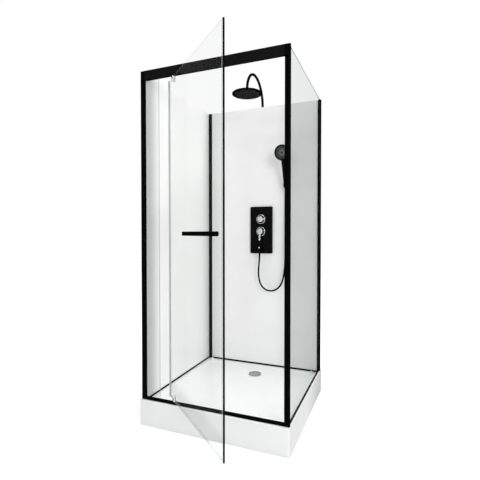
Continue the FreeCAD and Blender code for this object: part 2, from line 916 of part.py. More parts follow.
def pivot_clamp(level):
    z0, z1 = clamp_span(level)
    plate = rounded_clamp(pane_front - clamp_thickness, pane_front, z0, z1)
    half = clamp_web_width / 2
    if level == "upper":
        web = box(pivot_x - half, pivot_x + half, pane_front, pane_back, z1 - clamp_web_height, z1)
    else:
        web = box(pivot_x - half, pivot_x + half, pane_front, pane_back, z0, glass_bottom + clamp_web_height)
    bore = pivot_pin_bore(level)
    z = clamp_screw_axis(level)
    thread = rod(clamp_screw_radius + running_gap, V(pivot_x, pane_front - clamp_thickness / 2, z),
                 V(pivot_x, pane_front + overrun, z))
    return joined([plate, web]).cut([bore, thread])


def pivot_clamp_back(level):
    z0, z1 = clamp_span(level)
    plate = rounded_clamp(pane_back, pane_back + clamp_thickness, z0, z1)
    z = clamp_screw_axis(level)
    hole = rod(clamp_screw_radius + running_gap, V(pivot_x, pane_back - overrun, z),
               V(pivot_x, pane_back + clamp_thickness + overrun, z))
    seat = rod(clamp_screw_head_radius + running_gap,
               V(pivot_x, pane_back + clamp_thickness - clamp_screw_head_height, z),
               V(pivot_x, pane_back + clamp_thickness + overrun, z))
    return plate.cut([hole, seat, pivot_pin_bore(level)])


def clamp_screws():
    screws = []
    for z in clamp_screw_heights():
        shank = rod(clamp_screw_radius, V(pivot_x, pane_front - clamp_thickness / 2, z),
                    V(pivot_x, pane_back + clamp_thickness - clamp_screw_head_height, z))
        head = rod(clamp_screw_head_radius, V(pivot_x, pane_back + clamp_thickness - clamp_screw_head_height, z),
                   V(pivot_x, pane_back + clamp_thickness, z))
        screws.append(joined([shank, head]))
    return Part.makeCompound(screws)


def pivot_pin(level):
    z0, z1 = clamp_span(level)
    if level == "upper":
        return rod(pivot_pin_radius, V(pivot_x, pivot_y, z1 - clamp_web_height),
                   V(pivot_x, pivot_y, rail_bottom + pivot_pin_reach))
    return rod(pivot_pin_radius, V(pivot_x, pivot_y, sill_top - pivot_pin_reach),
               V(pivot_x, pivot_y, z0 + clamp_web_height))


def pivot_bush(level):
    wall_radius = pivot_pin_radius + running_gap + bush_wall
    if level == "upper":
        body = rod(wall_radius, V(pivot_x, pivot_y, rail_bottom),
                   V(pivot_x, pivot_y, rail_bottom + glass_groove_depth + profile_wall))
        flange = rod(bush_flange_radius, V(pivot_x, pivot_y, rail_bottom - bush_flange_thickness),
                     V(pivot_x, pivot_y, rail_bottom))
    else:
        body = rod(wall_radius, V(pivot_x, pivot_y, rim_height + profile_wall), V(pivot_x, pivot_y, sill_top))
        flange = rod(bush_flange_radius, V(pivot_x, pivot_y, sill_top),
                     V(pivot_x, pivot_y, sill_top + bush_flange_thickness))
    bore = rod(pivot_pin_radius + running_gap, V(pivot_x, pivot_y, 0), V(pivot_x, pivot_y, cabin_top))
    return joined([body, flange]).cut(bore)


def both(maker):
    return Part.makeCompound([maker(level) for level in ("upper", "lower")])


def door_handle():
    end = pivot_x + door_reach - handle_end_margin
    middle = pivot_y - handle_stand_off
    half = handle_height / 2
    bar = box(end - handle_length, end, middle - handle_thickness / 2, middle + handle_thickness / 2,
              handle_centre_height - half, handle_centre_height + half)
    return bar.makeChamfer(handle_bevel, bar.Edges)


def handle_stand_offs():
    posts = []
    back = pivot_y - handle_stand_off + handle_thickness / 2
    for x in handle_posts():
        post = rod(handle_post_radius, V(x, back, handle_centre_height),
                   V(x, pane_front - handle_washer_thickness, handle_centre_height))
        bore = rod(handle_screw_radius + running_gap, V(x, back + profile_wall, handle_centre_height),
                   V(x, pane_front, handle_centre_height))
        posts.append(post.cut(bore))
    return Part.makeCompound(posts)


def handle_washers():
    washers = []
    for x in handle_posts():
        for y in (pane_front - handle_washer_thickness, pane_back):
            disc = rod(handle_post_radius, V(x, y, handle_centre_height),
                       V(x, y + handle_washer_thickness, handle_centre_height))
            bore = rod(handle_screw_radius + running_gap, V(x, y - overrun, handle_centre_height),
                       V(x, y + overrun, handle_centre_height))
            washers.append(disc.cut(bore))
    return Part.makeCompound(washers)


def handle_caps():
    caps = []
    front = pivot_y - handle_stand_off + handle_thickness / 2 + profile_wall
    seat = pane_back + handle_washer_thickness
    for x in handle_posts():
        cap = rod(handle_cap_radius, V(x, seat, handle_centre_height),
                  V(x, seat + handle_cap_height, handle_centre_height))
        cap = cap.makeChamfer(handle_bevel / 2, edges_at(cap, 1, seat + handle_cap_height))
        shank = rod(handle_screw_radius, V(x, front, handle_centre_height), V(x, seat, handle_centre_height))
        caps.append(joined([cap, shank]))
    return Part.makeCompound(caps)


# Control plate, valve and taps

def along_y(radius, x, z, y0, y1):
    return rod(radius, V(x, y0, z), V(x, y1, z))


def control_plate():
    half_x = plate_width / 2
    half_z = plate_height / 2

    def shell_block(grow, y0, y1):
        block = box(service_x - half_x - grow, service_x + half_x + grow, y0, y1,
                    plate_centre_height - half_z - grow, plate_centre_height + half_z + grow)
        edges = [e for e in block.Edges if abs(e.tangentAt(e.FirstParameter).y) > math.cos(math.radians(1))]
        return block.makeFillet(plate_corner_radius + grow, edges)

    outer = shell_block(0, plate_front, wall_inner_back)
    outer = outer.makeFillet(plate_edge_radius, edges_at(outer, 1, plate_front))
    inner = shell_block(-plate_wall, plate_front + plate_wall, wall_inner_back + overrun)
    holes = [inner]
    for z, radius in ((diverter_height, barrel_radius), (mixer_height, barrel_radius),
                      (outlet_height, outlet_nipple_radius)):
        holes.append(along_y(radius + seat_gap, service_x, z, plate_front - overrun, plate_front + overrun))
    return outer.cut(holes)


manifold_front = wall_outer_back + seat_gap
manifold_back = manifold_front + manifold_depth


def valve_body():
    half = manifold_width / 2
    block = box(service_x - half, service_x + half, manifold_front, manifold_back, outlet_height - manifold_margin,
                diverter_height + manifold_margin)
    middle = (manifold_front + manifold_back) / 2
    arm_half = inlet_spacing / 2
    arm = rod(inlet_arm_radius, V(service_x - arm_half, middle, inlet_arm_height),
              V(service_x + arm_half, middle, inlet_arm_height))
    barrels = []
    bores = []
    for z in (diverter_height, mixer_height):
        barrels.append(along_y(barrel_radius, service_x, z, plate_front - barrel_reach, manifold_front))
        bores.append(along_y(barrel_bore_radius, service_x, z, plate_front - barrel_reach - overrun, middle))
    nipple = along_y(outlet_nipple_radius, service_x, outlet_height, plate_front, manifold_front)
    stubs = []
    inlet_y = wall_outer_back + inlet_setback
    block_depth = inlet_radius + inlet_block_margin
    block_low = inlet_arm_height - inlet_arm_radius
    block_high = inlet_arm_height + inlet_arm_radius
    for x in (service_x - arm_half, service_x + arm_half):
        low = block_low - inlet_length
        stubs.append(rod(inlet_radius, V(x, inlet_y, low), V(x, inlet_y, inlet_arm_height)))
        stubs.append(box(x - inlet_block_width / 2, x + inlet_block_width / 2, inlet_y - block_depth,
                         inlet_y + block_depth, block_low, block_high))
        bores.append(rod(inlet_bore_radius, V(x, inlet_y, low - overrun), V(x, inlet_y, inlet_arm_height)))
    top = V(service_x, riser_y, diverter_height + manifold_margin)
    boss = rod(arm_radius - arm_wall - running_gap, top - V(0, 0, overrun), top + V(0, 0, arm_plug_length))
    return joined([block, arm, nipple, boss] + barrels + stubs).cut(bores)


def valve_clamp_nuts():
    nuts = []
    for z in (diverter_height, mixer_height):
        seat = plate_front + plate_wall + seat_gap
        ring = along_y(clamp_nut_radius, service_x, z, wall_inner_back - clamp_nut_thickness, wall_inner_back)
        bore = along_y(barrel_radius + running_gap, service_x, z, seat, wall_inner_back + overrun)
        nuts.append(ring.cut(bore))
    return Part.makeCompound(nuts)


def cartridge(z):
    front = plate_front - barrel_reach
    middle = (manifold_front + manifold_back) / 2
    body = along_y(barrel_bore_radius - running_gap, service_x, z, front - cartridge_head, middle)
    bore = along_y(spindle_radius + running_gap, service_x, z, front - cartridge_head - overrun,
                   front - cartridge_head + spindle_length)
    return body.cut(bore)


cartridge_front = plate_front - barrel_reach - cartridge_head
escutcheon_front = plate_front - escutcheon_thickness


def escutcheon(z):
    ring = along_y(escutcheon_radius, service_x, z, escutcheon_front, plate_front)
    ring = ring.makeChamfer(escutcheon_bevel, edges_at(ring, 1, escutcheon_front))
    bore = along_y(barrel_radius + seat_gap, service_x, z, escutcheon_front - overrun, plate_front + overrun)
    return ring.cut(bore)


def spindle(z, front):
    return along_y(spindle_radius, service_x, z, front, cartridge_front + spindle_length - seat_gap)


def diverter_knob():
    back = escutcheon_front - seat_gap
    front = back - knob_depth
    body = along_y(knob_radius, service_x, diverter_height, front, back)
    body = body.makeChamfer(knob_bevel, edges_at(body, 1, front))
    half = grip_height / 2
    grip = box(service_x, service_x + grip_reach, front, front + grip_depth, diverter_height - half,
               diverter_height + half)
    grip = grip.makeChamfer(escutcheon_bevel, edges_at(grip, 0, service_x + grip_reach))
    return joined([body, grip, spindle(diverter_height, back)])


lever_hub_front = escutcheon_front - seat_gap - lever_hub_depth
lever_pivot_y = lever_hub_front - lever_lug_width / 2


def mixer_hub():
    back = escutcheon_front - seat_gap
    body = along_y(lever_hub_radius, service_x, mixer_height, lever_hub_front, back)
    half = lever_lug_width / 2
    lug = box(service_x - half, service_x + half, lever_pivot_y, lever_hub_front, mixer_height - half,
              mixer_height + half)
    eye = rod(half, V(service_x - half, lever_pivot_y, mixer_height), V(service_x + half, lever_pivot_y, mixer_height))
    bore = rod(lever_pivot_radius + running_gap, V(service_x - lever_hub_radius, lever_pivot_y, mixer_height),
               V(service_x + lever_hub_radius, lever_pivot_y, mixer_height))
    return joined([body, lug, eye, spindle(mixer_height, back)]).cut(bore)


def mixer_lever():
    back = lever_hub_front - seat_gap
    front = back - lever_cap_depth
    cap = along_y(lever_hub_radius, service_x, mixer_height, front, back)
    cap = cap.makeChamfer(knob_bevel, edges_at(cap, 1, front))
    half = lever_lug_width / 2 + seat_gap
    reach = lever_lug_width / 2 + seat_gap
    slot = box(service_x - half, service_x + half, lever_pivot_y - reach, back + overrun,
               mixer_height - lever_lug_width / 2 - seat_gap - overrun,
               mixer_height + lever_lug_width / 2 + seat_gap + overrun)
    pin = rod(lever_pivot_radius, V(service_x - lever_hub_radius + lever_lug_width, lever_pivot_y, mixer_height),
              V(service_x + lever_hub_radius - lever_lug_width, lever_pivot_y, mixer_height))
    wide = lever_width / 2
    profile = [
        V(service_x, front, mixer_height - lever_hub_radius / 2),
        V(service_x, front - lever_lean, mixer_height - lever_length),
        V(service_x, front - lever_lean + lever_thickness, mixer_height - lever_length),
        V(service_x, back - seat_gap, mixer_height - lever_hub_radius / 2),
    ]
    face = Part.Face(Part.makePolygon(profile + profile[:1]))
    blade = face.extrude(V(lever_width, 0, 0))
    blade.translate(V(-wide, 0, 0))
    lift = math.tan(math.radians(lever_lift_angle + lever_lift_margin))
    rise = lever_hub_radius + overrun
    relief = [
        V(service_x, back + overrun, mixer_height),
        V(service_x, back, mixer_height),
        V(service_x, back - rise * lift, mixer_height + rise),
        V(service_x, back + overrun, mixer_height + rise),
    ]
    wedge = Part.Face(Part.makePolygon(relief + relief[:1])).extrude(V(2 * lever_hub_radius, 0, 0))
    wedge.translate(V(-lever_hub_radius, 0, 0))
    return joined([cap.cut([slot, wedge]), pin, blade.cut(slot)])


outlet_y = plate_front - elbow_reach
elbow_bottom = outlet_height - elbow_radius - elbow_drop


def outlet_elbow():
    run = along_y(elbow_radius, service_x, outlet_height, outlet_y, plate_front)
    ball = Part.makeSphere(elbow_radius, V(service_x, outlet_y, outlet_height))
    drop = rod(elbow_radius, V(service_x, outlet_y, elbow_bottom), V(service_x, outlet_y, outlet_height))
    flange = along_y(elbow_radius + 2 * escutcheon_bevel, service_x, outlet_height,
                     plate_front - escutcheon_bevel, plate_front)
    front = outlet_y - elbow_radius
    stud = along_y(elbow_cap_radius, service_x, outlet_height, front - elbow_cap_depth, outlet_y)
    return joined([run, ball, drop, flange, stud])


def lower_hose_nut():
    start = hose_points()[0]
    return rod(hose_nut_radius, start, V(start.x, start.y, elbow_bottom))


# Shower hose: straight runs joined by tangent arcs, from the outlet's nut to the hand shower's cone

def hose_points():
    low = elbow_bottom - hose_nut_length
    points = [V(service_x + right, wall_inner_back - out, low + rise) for right, out, rise in hose_route]
    return points + [on_axis(-hose_last_run), on_axis(0)]


def hose_path():
    points = hose_points()
    edges = []
    start = points[0]
    radii = []
    for before, corner, after in zip(points, points[1:], points[2:]):
        inward = (corner - before).normalize()
        onward = (after - corner).normalize()
        turn = inward.getAngle(onward)
        shorter = min((corner - before).Length, (after - corner).Length)
        tangent = hose_arc_share * shorter
        radius = tangent / math.tan(turn / 2)
        radii.append(round(radius))
        arc_start = corner - inward * tangent
        arc_end = corner + onward * tangent
        bisector = (onward - inward).normalize()
        centre = corner + bisector * (radius / math.cos(turn / 2))
        middle = centre - bisector * radius
        edges.append(Part.LineSegment(start, arc_start).toShape())
        edges.append(Part.Arc(arc_start, middle, arc_end).toShape())
        start = arc_end
    edges.append(Part.LineSegment(start, points[-1]).toShape())
    print("hose radii", radii)
    return Part.Wire(edges), points


def shower_hose():
    path, points = hose_path()
    start_direction = points[1] - points[0]
    profile = Part.Wire(Part.Circle(points[0], start_direction, hose_radius).toShape())
    tube = path.makePipeShell([profile], True, False)
    expected = math.pi * hose_radius ** 2 * path.Length
    print("hose length", round(path.Length), "volume ratio", round(tube.Volume / expected, 4))
    return tube


# Hand shower and its holder

def holder_height():
    middle = on_axis(cone_grip_length + holder_ring_height / 2)
    return middle.z


def holder_screw_places():
    half = holder_screw_spread / 2
    return [V(handset_x, wall_outer_back, holder_height() + step) for step in (-half, half)]


def upper_hose_nut():
    grip = rod(cone_small_radius + seat_gap, on_axis(0), on_axis(cone_grip_length - seat_gap))
    taper = cone(cone_small_radius, cone_large_radius, on_axis(cone_grip_length - seat_gap), on_axis(cone_length))
    return joined([grip, taper])


def handset_holder():
    low = cone_grip_length
    high = low + holder_ring_height
    wide_low = cone_small_radius + (cone_large_radius - cone_small_radius) * low / cone_length
    wide_high = cone_small_radius + (cone_large_radius - cone_small_radius) * high / cone_length
    sleeve = cone(wide_low + holder_ring_wall + seat_gap, wide_high + holder_ring_wall + seat_gap, on_axis(low),
                  on_axis(high))
    bore = cone(cone_small_radius + seat_gap, cone_large_radius + seat_gap, on_axis(cone_grip_length - seat_gap),
                on_axis(cone_length))
    bore = bore.fuse(rod(cone_small_radius + 2 * seat_gap, on_axis(-overrun), on_axis(cone_grip_length)))
    z = holder_height()
    middle = on_axis(cone_grip_length + holder_ring_height / 2)
    arm = rod(holder_arm_radius, V(handset_x, middle.y, z), V(handset_x, wall_inner_back, z))
    plate = rod(holder_plate_radius, V(handset_x, wall_inner_back - holder_plate_thickness, z),
                V(handset_x, wall_inner_back, z))
    plate = plate.makeChamfer(escutcheon_bevel, edges_at(plate, 1, wall_inner_back - holder_plate_thickness))
    slot_half = holder_slot_width / 2
    reach = cone_large_radius + holder_ring_wall + overrun
    slot = box(-slot_half, slot_half, -reach, 0, -cone_length, cone_length)
    slot.rotate(V(0, 0, 0), V(1, 0, 0), handset_lean)
    slot.translate(middle)
    threads = []
    for place in holder_screw_places():
        threads.append(rod(screw_radius + running_gap, place, place - V(0, screw_length + seat_gap, 0)))
    return joined([sleeve, arm, plate]).cut([bore, slot] + threads)


def head_frame():
    turn = math.radians(head_face_turn)
    normal = V(0, -math.sin(turn), -math.cos(turn))
    centre = on_axis(cone_length + handle_tube_length + head_radius)
    return centre, normal


def handset_body():
    start = on_axis(cone_length + running_gap)
    end = on_axis(cone_length + handle_tube_length)
    grip = cone(handle_tube_radius, handle_tube_top_radius, start, end)
    centre, normal = head_frame()
    neck_end = centre - normal * (head_neck_depth / 2)
    neck = cone(handle_tube_top_radius, handle_tube_radius, end, neck_end)
    joint_ball = Part.makeSphere(handle_tube_top_radius, end)
    disc = rod(head_radius, centre, centre + normal * head_depth)
    back_edge = [e for e in disc.Edges if (e.CenterOfMass - centre).Length < seat_gap]
    disc = disc.makeChamfer(head_bevel, back_edge)
    dome = cone(head_radius - head_bevel, head_plate_radius / 2, centre, centre - normal * head_neck_depth / 2)
    recess = rod(head_plate_radius + seat_gap, centre + normal * (head_depth - head_plate_thickness),
                 centre + normal * (head_depth + overrun))
    return joined([grip, joint_ball, neck, disc, dome]).cut(recess)


def handset_spray_plate():
    centre, normal = head_frame()
    back = centre + normal * (head_depth - head_plate_thickness)
    front = centre + normal * head_depth
    disc = rod(head_plate_radius, back, front)
    side = V(1, 0, 0)
    up = side.cross(normal)
    nozzles = []
    for ring in range(1, head_ring_count + 1):
        radius = head_plate_radius * ring / (head_ring_count + head_ring_margin_share)
        count = head_ring_first_nozzles * ring
        for k in range(count):
            angle = math.pi * (2 * k + 1) / count
            foot = front + side * (radius * math.cos(angle)) + up * (radius * math.sin(angle))
            nozzles.append(peg(head_nozzle_width, foot, normal, head_nozzle_height, side))
    button = rod(head_button_radius, front, front + normal * head_nozzle_height)
    return joined([disc, button] + nozzles)


# Rain head

bend_stop = math.radians(arm_bend_stop)
bend_centre = V(service_x, riser_y - arm_bend_radius, arm_bend_height)
arm_tip = bend_centre + V(0, -math.cos(bend_stop), math.sin(bend_stop)) * arm_bend_radius
arm_heading = V(0, -math.sin(bend_stop), -math.cos(bend_stop))
ball_centre = arm_tip + arm_heading * (ball_stem_length + ball_radius)
socket_radius = ball_radius + 2 * seat_gap + ring_shell
rain_y = ball_centre.y
head_top = ball_centre.z - socket_radius
rim_bottom = head_top - head_hub_height - rain_head_rim


def bent_tube(radius):
    foot = V(service_x, riser_y, diverter_height + manifold_margin)
    bend_start = V(service_x, riser_y, arm_bend_height)
    bend_top = bend_centre + V(0, 0, arm_bend_radius)
    path = Part.Wire([
        Part.LineSegment(foot, bend_start).toShape(),
        Part.Arc(bend_start, bend_top, arm_tip).toShape(),
    ])
    return path.makePipeShell([Part.Wire(Part.Circle(foot, V(0, 0, 1), radius).toShape())], True, False)


def rain_arm():
    return bent_tube(arm_radius).cut(bent_tube(arm_radius - arm_wall))


def swivel_ball():
    plug = rod(arm_radius - arm_wall, arm_tip - arm_heading * arm_plug_length, arm_tip)
    stem = rod(ball_stem_radius, arm_tip, ball_centre)
    return joined([Part.makeSphere(ball_radius, ball_centre), stem, plug])


def swivel_nut():
    top = ball_centre.z + ball_radius * ball_neck_share
    nut = hexagon(swivel_nut_width, head_top, top, ball_centre)
    cavity = Part.makeSphere(ball_radius + seat_gap, ball_centre)
    mouth = rod(socket_radius, V(service_x, rain_y, head_top - overrun), ball_centre - V(0, 0, ring_shell))
    return nut.cut([cavity, mouth])


def swivel_ring():
    shell = Part.makeSphere(ball_radius + seat_gap + ring_shell, ball_centre)
    shell = shell.cut(Part.makeSphere(ball_radius + seat_gap, ball_centre))
    low = ball_centre - V(0, 0, socket_radius)
    band = rod(socket_radius, low, ball_centre - V(0, 0, ball_radius * ball_neck_share))
    hole = rod(ring_hole_radius, low, ball_centre)
    return shell.common(band).cut(hole)


def rain_head():
    low = rim_bottom
    top = low + rain_head_rim
    disc = rod(rain_head_radius, V(service_x, rain_y, low), V(service_x, rain_y, top))
    disc = disc.makeChamfer(rain_head_bevel, edges_at(disc, 2, top))
    dome = cone(rain_head_radius / 2, head_hub_radius / 2, V(service_x, rain_y, top), V(service_x, rain_y, head_top))
    recess = rod(rain_head_radius - rain_plate_margin + seat_gap, V(service_x, rain_y, low - overrun),
                 V(service_x, rain_y, low + rain_plate_thickness))
    return joined([disc, dome]).cut(recess)


def rain_head_plate():
    low = rim_bottom
    plate = rod(rain_head_radius - rain_plate_margin, V(service_x, rain_y, low),
                V(service_x, rain_y, low + rain_plate_thickness))
    nozzles = []
    reach = int(nozzle_field_radius / nozzle_pitch) + 1
    for i in range(-reach, reach + 1):
        for j in range(-reach, reach + 1):
            x = (i + j) * nozzle_pitch / math.sqrt(2)
            y = (i - j) * nozzle_pitch / math.sqrt(2)
            if math.hypot(x, y) <= nozzle_field_radius:
                foot = V(service_x + x, rain_y + y, low)
                nozzles.append(peg(nozzle_width, foot, V(0, 0, -1), nozzle_height, V(1, 0, 0)))
    return joined([plate] + nozzles)


def arm_clip():
    z = cabin_top - clip_drop
    half = clip_width / 2
    y0 = wall_outer_back
    y1 = riser_y + arm_radius + clip_thickness
    outer = box(service_x - arm_radius - clip_thickness, service_x + arm_radius + clip_thickness, y0, y1, z,
                z + clip_height)
    foot = box(service_x - half, service_x + half, y0, y0 + clip_thickness - seat_gap, z, z + clip_height)
    bore = rod(arm_radius + running_gap, V(service_x, riser_y, z - overrun),
               V(service_x, riser_y, z + clip_height + overrun))
    return joined([outer, foot]).cut(bore)


save("shower_tray", shower_tray())
save("tray_support", tray_support())
save("tray_feet", tray_feet())
save("foot_lock_nuts", foot_lock_nuts())
save("drain_flange", drain_flange())
save("drain_gasket", drain_gasket())
save("waste_trap", waste_trap())
save("drain_cover", drain_cover())
save("front_left_post", front_post(-1))
save("front_right_post", front_post(1))
save("jamb_magnet", jamb_magnet())
save("top_rail", top_rail())
save("bottom_sill", bottom_sill())
save("corner_keys", corner_keys())
save("pan_head_screws", pan_head_screws())
save("back_left_post", back_left_post())
save("back_right_post", back_right_post())
save("left_rail", left_rail())
save("back_rail", back_rail())
save("right_rail", right_rail())
save("left_wall_panel", left_wall_panel())
save("back_wall_panel", back_wall_panel())
save("right_side_glass", right_side_glass())
save("fixed_front_glass", fixed_front_glass())
save("door_glass", opened(door_glass()))
save("door_edge_seal", opened(door_edge_seal()))
save("door_magnet_strip", opened(door_magnet_strip()))
save("door_tail_seal", opened(door_tail_seal()))
save("door_drip_seal", opened(door_drip_seal()))
save("pivot_clamps", opened(both(pivot_clamp)))
save("pivot_clamp_backs", opened(both(pivot_clamp_back)))
save("pivot_pins", opened(both(pivot_pin)))
save("pivot_bushes", both(pivot_bush))
save("clamp_screws", opened(clamp_screws()))
save("door_handle", opened(door_handle()))
save("handle_stand_offs", opened(handle_stand_offs()))
save("handle_washers", opened(handle_washers()))
save("handle_caps", opened(handle_caps()))
save("control_plate", control_plate())
save("valve_body", valve_body())
save("valve_clamp_nuts", valve_clamp_nuts())
save("valve_cartridges", Part.makeCompound([cartridge(z) for z in (diverter_height, mixer_height)]))
save("knob_escutcheons", Part.makeCompound([escutcheon(z) for z in (diverter_height, mixer_height)]))
save("diverter_knob", diverter_knob())
save("mixer_hub", mixer_hub())
save("mixer_lever", mixer_lever())
save("outlet_elbow", outlet_elbow())
save("lower_hose_nut", lower_hose_nut())
save("shower_hose", shower_hose())
save("upper_hose_nut", upper_hose_nut())
save("handset_holder", handset_holder())
save("handset_body", handset_body())
save("handset_spray_plate", handset_spray_plate())
save("rain_arm", rain_arm())
save("arm_clip", arm_clip())
save("swivel_ball", swivel_ball())
save("swivel_nut", swivel_nut())
save("swivel_ring", swivel_ring())
save("rain_head", rain_head())
save("rain_head_plate", rain_head_plate())
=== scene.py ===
import json
import math

import bmesh
import bpy
from mathutils import Matrix, Vector


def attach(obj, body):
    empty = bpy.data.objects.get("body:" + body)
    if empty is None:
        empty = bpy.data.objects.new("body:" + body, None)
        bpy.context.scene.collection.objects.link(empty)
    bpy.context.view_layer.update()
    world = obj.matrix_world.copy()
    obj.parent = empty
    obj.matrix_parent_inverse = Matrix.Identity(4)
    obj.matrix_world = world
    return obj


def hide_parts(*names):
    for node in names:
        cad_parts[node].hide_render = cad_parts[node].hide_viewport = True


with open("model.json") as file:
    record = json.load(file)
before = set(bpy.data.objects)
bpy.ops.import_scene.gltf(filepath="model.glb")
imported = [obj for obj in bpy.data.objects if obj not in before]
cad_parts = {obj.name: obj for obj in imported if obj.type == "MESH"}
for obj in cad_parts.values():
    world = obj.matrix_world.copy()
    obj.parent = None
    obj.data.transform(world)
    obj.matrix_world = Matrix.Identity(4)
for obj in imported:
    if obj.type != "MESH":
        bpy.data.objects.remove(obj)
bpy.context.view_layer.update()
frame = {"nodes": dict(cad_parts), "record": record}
scene = bpy.context.scene
nodes = frame["nodes"]

# Values that the helpers share

WELD_GAP = 0.000002
FLAT_ANGLE = 0.6
PER_METRE = 1000
NOISE_LOW, NOISE_HIGH = 0.3, 0.7
WIDE_SCALE, WIDE_DETAIL = 7.0, 3.0
FINE_DETAIL = 5.0
TINT_SCALE, TINT_DETAIL = 2.0, 2.0
RELIEF_DISTANCE = 0.0004
COAT_ROUGHNESS = 0.08
GLASS_IOR = 1.45
EVEN_BLEND = 0.5
SLANT_POWER = 5.0
WHITE = (1.0, 1.0, 1.0, 1.0)
MILK = (0.90, 0.92, 0.91, 1.0)

# Camera: the photograph's standing view from the front right

camera_place = Vector((0.9178, -2.2692, 1.1263))
camera_heading = Vector((-0.37455, 0.92701, -0.01904))
camera_data = bpy.data.cameras.new("camera")
camera_data.lens = 28.35
camera_data.sensor_width = 36.0
camera_data.clip_start = 0.05
camera = bpy.data.objects.new("camera", camera_data)
camera.location = camera_place
camera.rotation_euler = camera_heading.to_track_quat("-Z", "Y").to_euler()
scene.collection.objects.link(camera)
scene.camera = camera
scene.view_settings.view_transform = "Standard"


# Material helpers

def new_material(name):
    """A material with its node tree and its surface node."""
    material = bpy.data.materials.new(name)
    material.use_nodes = True
    tree = material.node_tree
    return material, tree, tree.nodes["Principled BSDF"]


def noise(tree, scale, detail=4.0, stretch=(1.0, 1.0, 1.0)):
    """Cloudy values fixed to the piece, with scale in waves per metre."""
    place = tree.nodes.new("ShaderNodeTexCoord")
    mapping = tree.nodes.new("ShaderNodeMapping")
    mapping.inputs["Scale"].default_value = stretch
    texture = tree.nodes.new("ShaderNodeTexNoise")
    texture.inputs["Scale"].default_value = scale
    texture.inputs["Detail"].default_value = detail
    tree.links.new(place.outputs["Object"], mapping.inputs["Vector"])
    tree.links.new(mapping.outputs["Vector"], texture.inputs["Vector"])
    return texture.outputs["Fac"]


def ranged(tree, value, low, high):
    """The noise's middle range spread from low to high."""
    node = tree.nodes.new("ShaderNodeMapRange")
    node.inputs["From Min"].default_value = NOISE_LOW
    node.inputs["From Max"].default_value = NOISE_HIGH
    node.inputs["To Min"].default_value = low
    node.inputs["To Max"].default_value = high
    tree.links.new(value, node.inputs["Value"])
    return node.outputs["Result"]


def bump(tree, height, strength):
    """A fine relief from the noise's height."""
    node = tree.nodes.new("ShaderNodeBump")
    node.inputs["Strength"].default_value = strength
    node.inputs["Distance"].default_value = RELIEF_DISTANCE
    tree.links.new(height, node.inputs["Height"])
    return node.outputs["Normal"]


def tinted(tree, value, dark, light):
    """A colour between dark and light that follows the noise."""
    node = tree.nodes.new("ShaderNodeValToRGB")
    node.color_ramp.elements[0].position = NOISE_LOW
    node.color_ramp.elements[0].color = (*dark, 1.0)
    node.color_ramp.elements[1].position = NOISE_HIGH
    node.color_ramp.elements[1].color = (*light, 1.0)
    tree.links.new(value, node.inputs["Fac"])
    return node.outputs["Color"]


def worked_out(tree, operation, first, second):
    """A math node's result from two values, each a number or another node's output."""
    node = tree.nodes.new("ShaderNodeMath")
    node.operation = operation
    for socket, value in zip(node.inputs, (first, second)):
        if isinstance(value, (int, float)):
            socket.default_value = value
        else:
            tree.links.new(value, socket)
    return node.outputs[0]


def scaled(tree, colour, factor):
    """A colour times a factor, both outputs of other nodes."""
    node = tree.nodes.new("ShaderNodeVectorMath")
    node.operation = "SCALE"
    tree.links.new(colour, node.inputs[0])
    tree.links.new(factor, node.inputs["Scale"])
    return node.outputs[0]


def kept_at_slant(tree, loss, power):
    """1 where a surface faces the eye, falling by loss towards its edge-on rim."""
    weight = tree.nodes.new("ShaderNodeLayerWeight")
    weight.inputs["Blend"].default_value = EVEN_BLEND
    turned_away = worked_out(tree, "POWER", weight.outputs["Facing"], power)
    return worked_out(tree, "SUBTRACT", 1.0, worked_out(tree, "MULTIPLY", turned_away, loss))


def mixed(tree, share, first, second):
    """A blend of two surfaces, with share a number or another node's output."""
    node = tree.nodes.new("ShaderNodeMixShader")
    if isinstance(share, (int, float)):
        node.inputs[0].default_value = share
    else:
        tree.links.new(share, node.inputs[0])
    tree.links.new(first.outputs[0], node.inputs[1])
    tree.links.new(second.outputs[0], node.inputs[2])
    return node


def finish_of(name, dark, light, rough, grain, relief, metallic=0.0, coat=0.0,
              stretch=(1.0, 1.0, 1.0), sheen=0.5):
    """A worked surface: slight colour and gloss variation with a fine relief of the given
    grain per metre."""
    material, tree, shader = new_material(name)
    wide = noise(tree, WIDE_SCALE, WIDE_DETAIL)
    fine = noise(tree, grain, FINE_DETAIL, stretch)
    tree.links.new(tinted(tree, wide, dark, light), shader.inputs["Base Color"])
    tree.links.new(ranged(tree, fine, rough[0], rough[1]), shader.inputs["Roughness"])
    tree.links.new(bump(tree, fine, relief), shader.inputs["Normal"])
    shader.inputs["Metallic"].default_value = metallic
    shader.inputs["Coat Weight"].default_value = coat
    shader.inputs["Coat Roughness"].default_value = COAT_ROUGHNESS
    shader.inputs["Specular IOR Level"].default_value = sheen
    return material


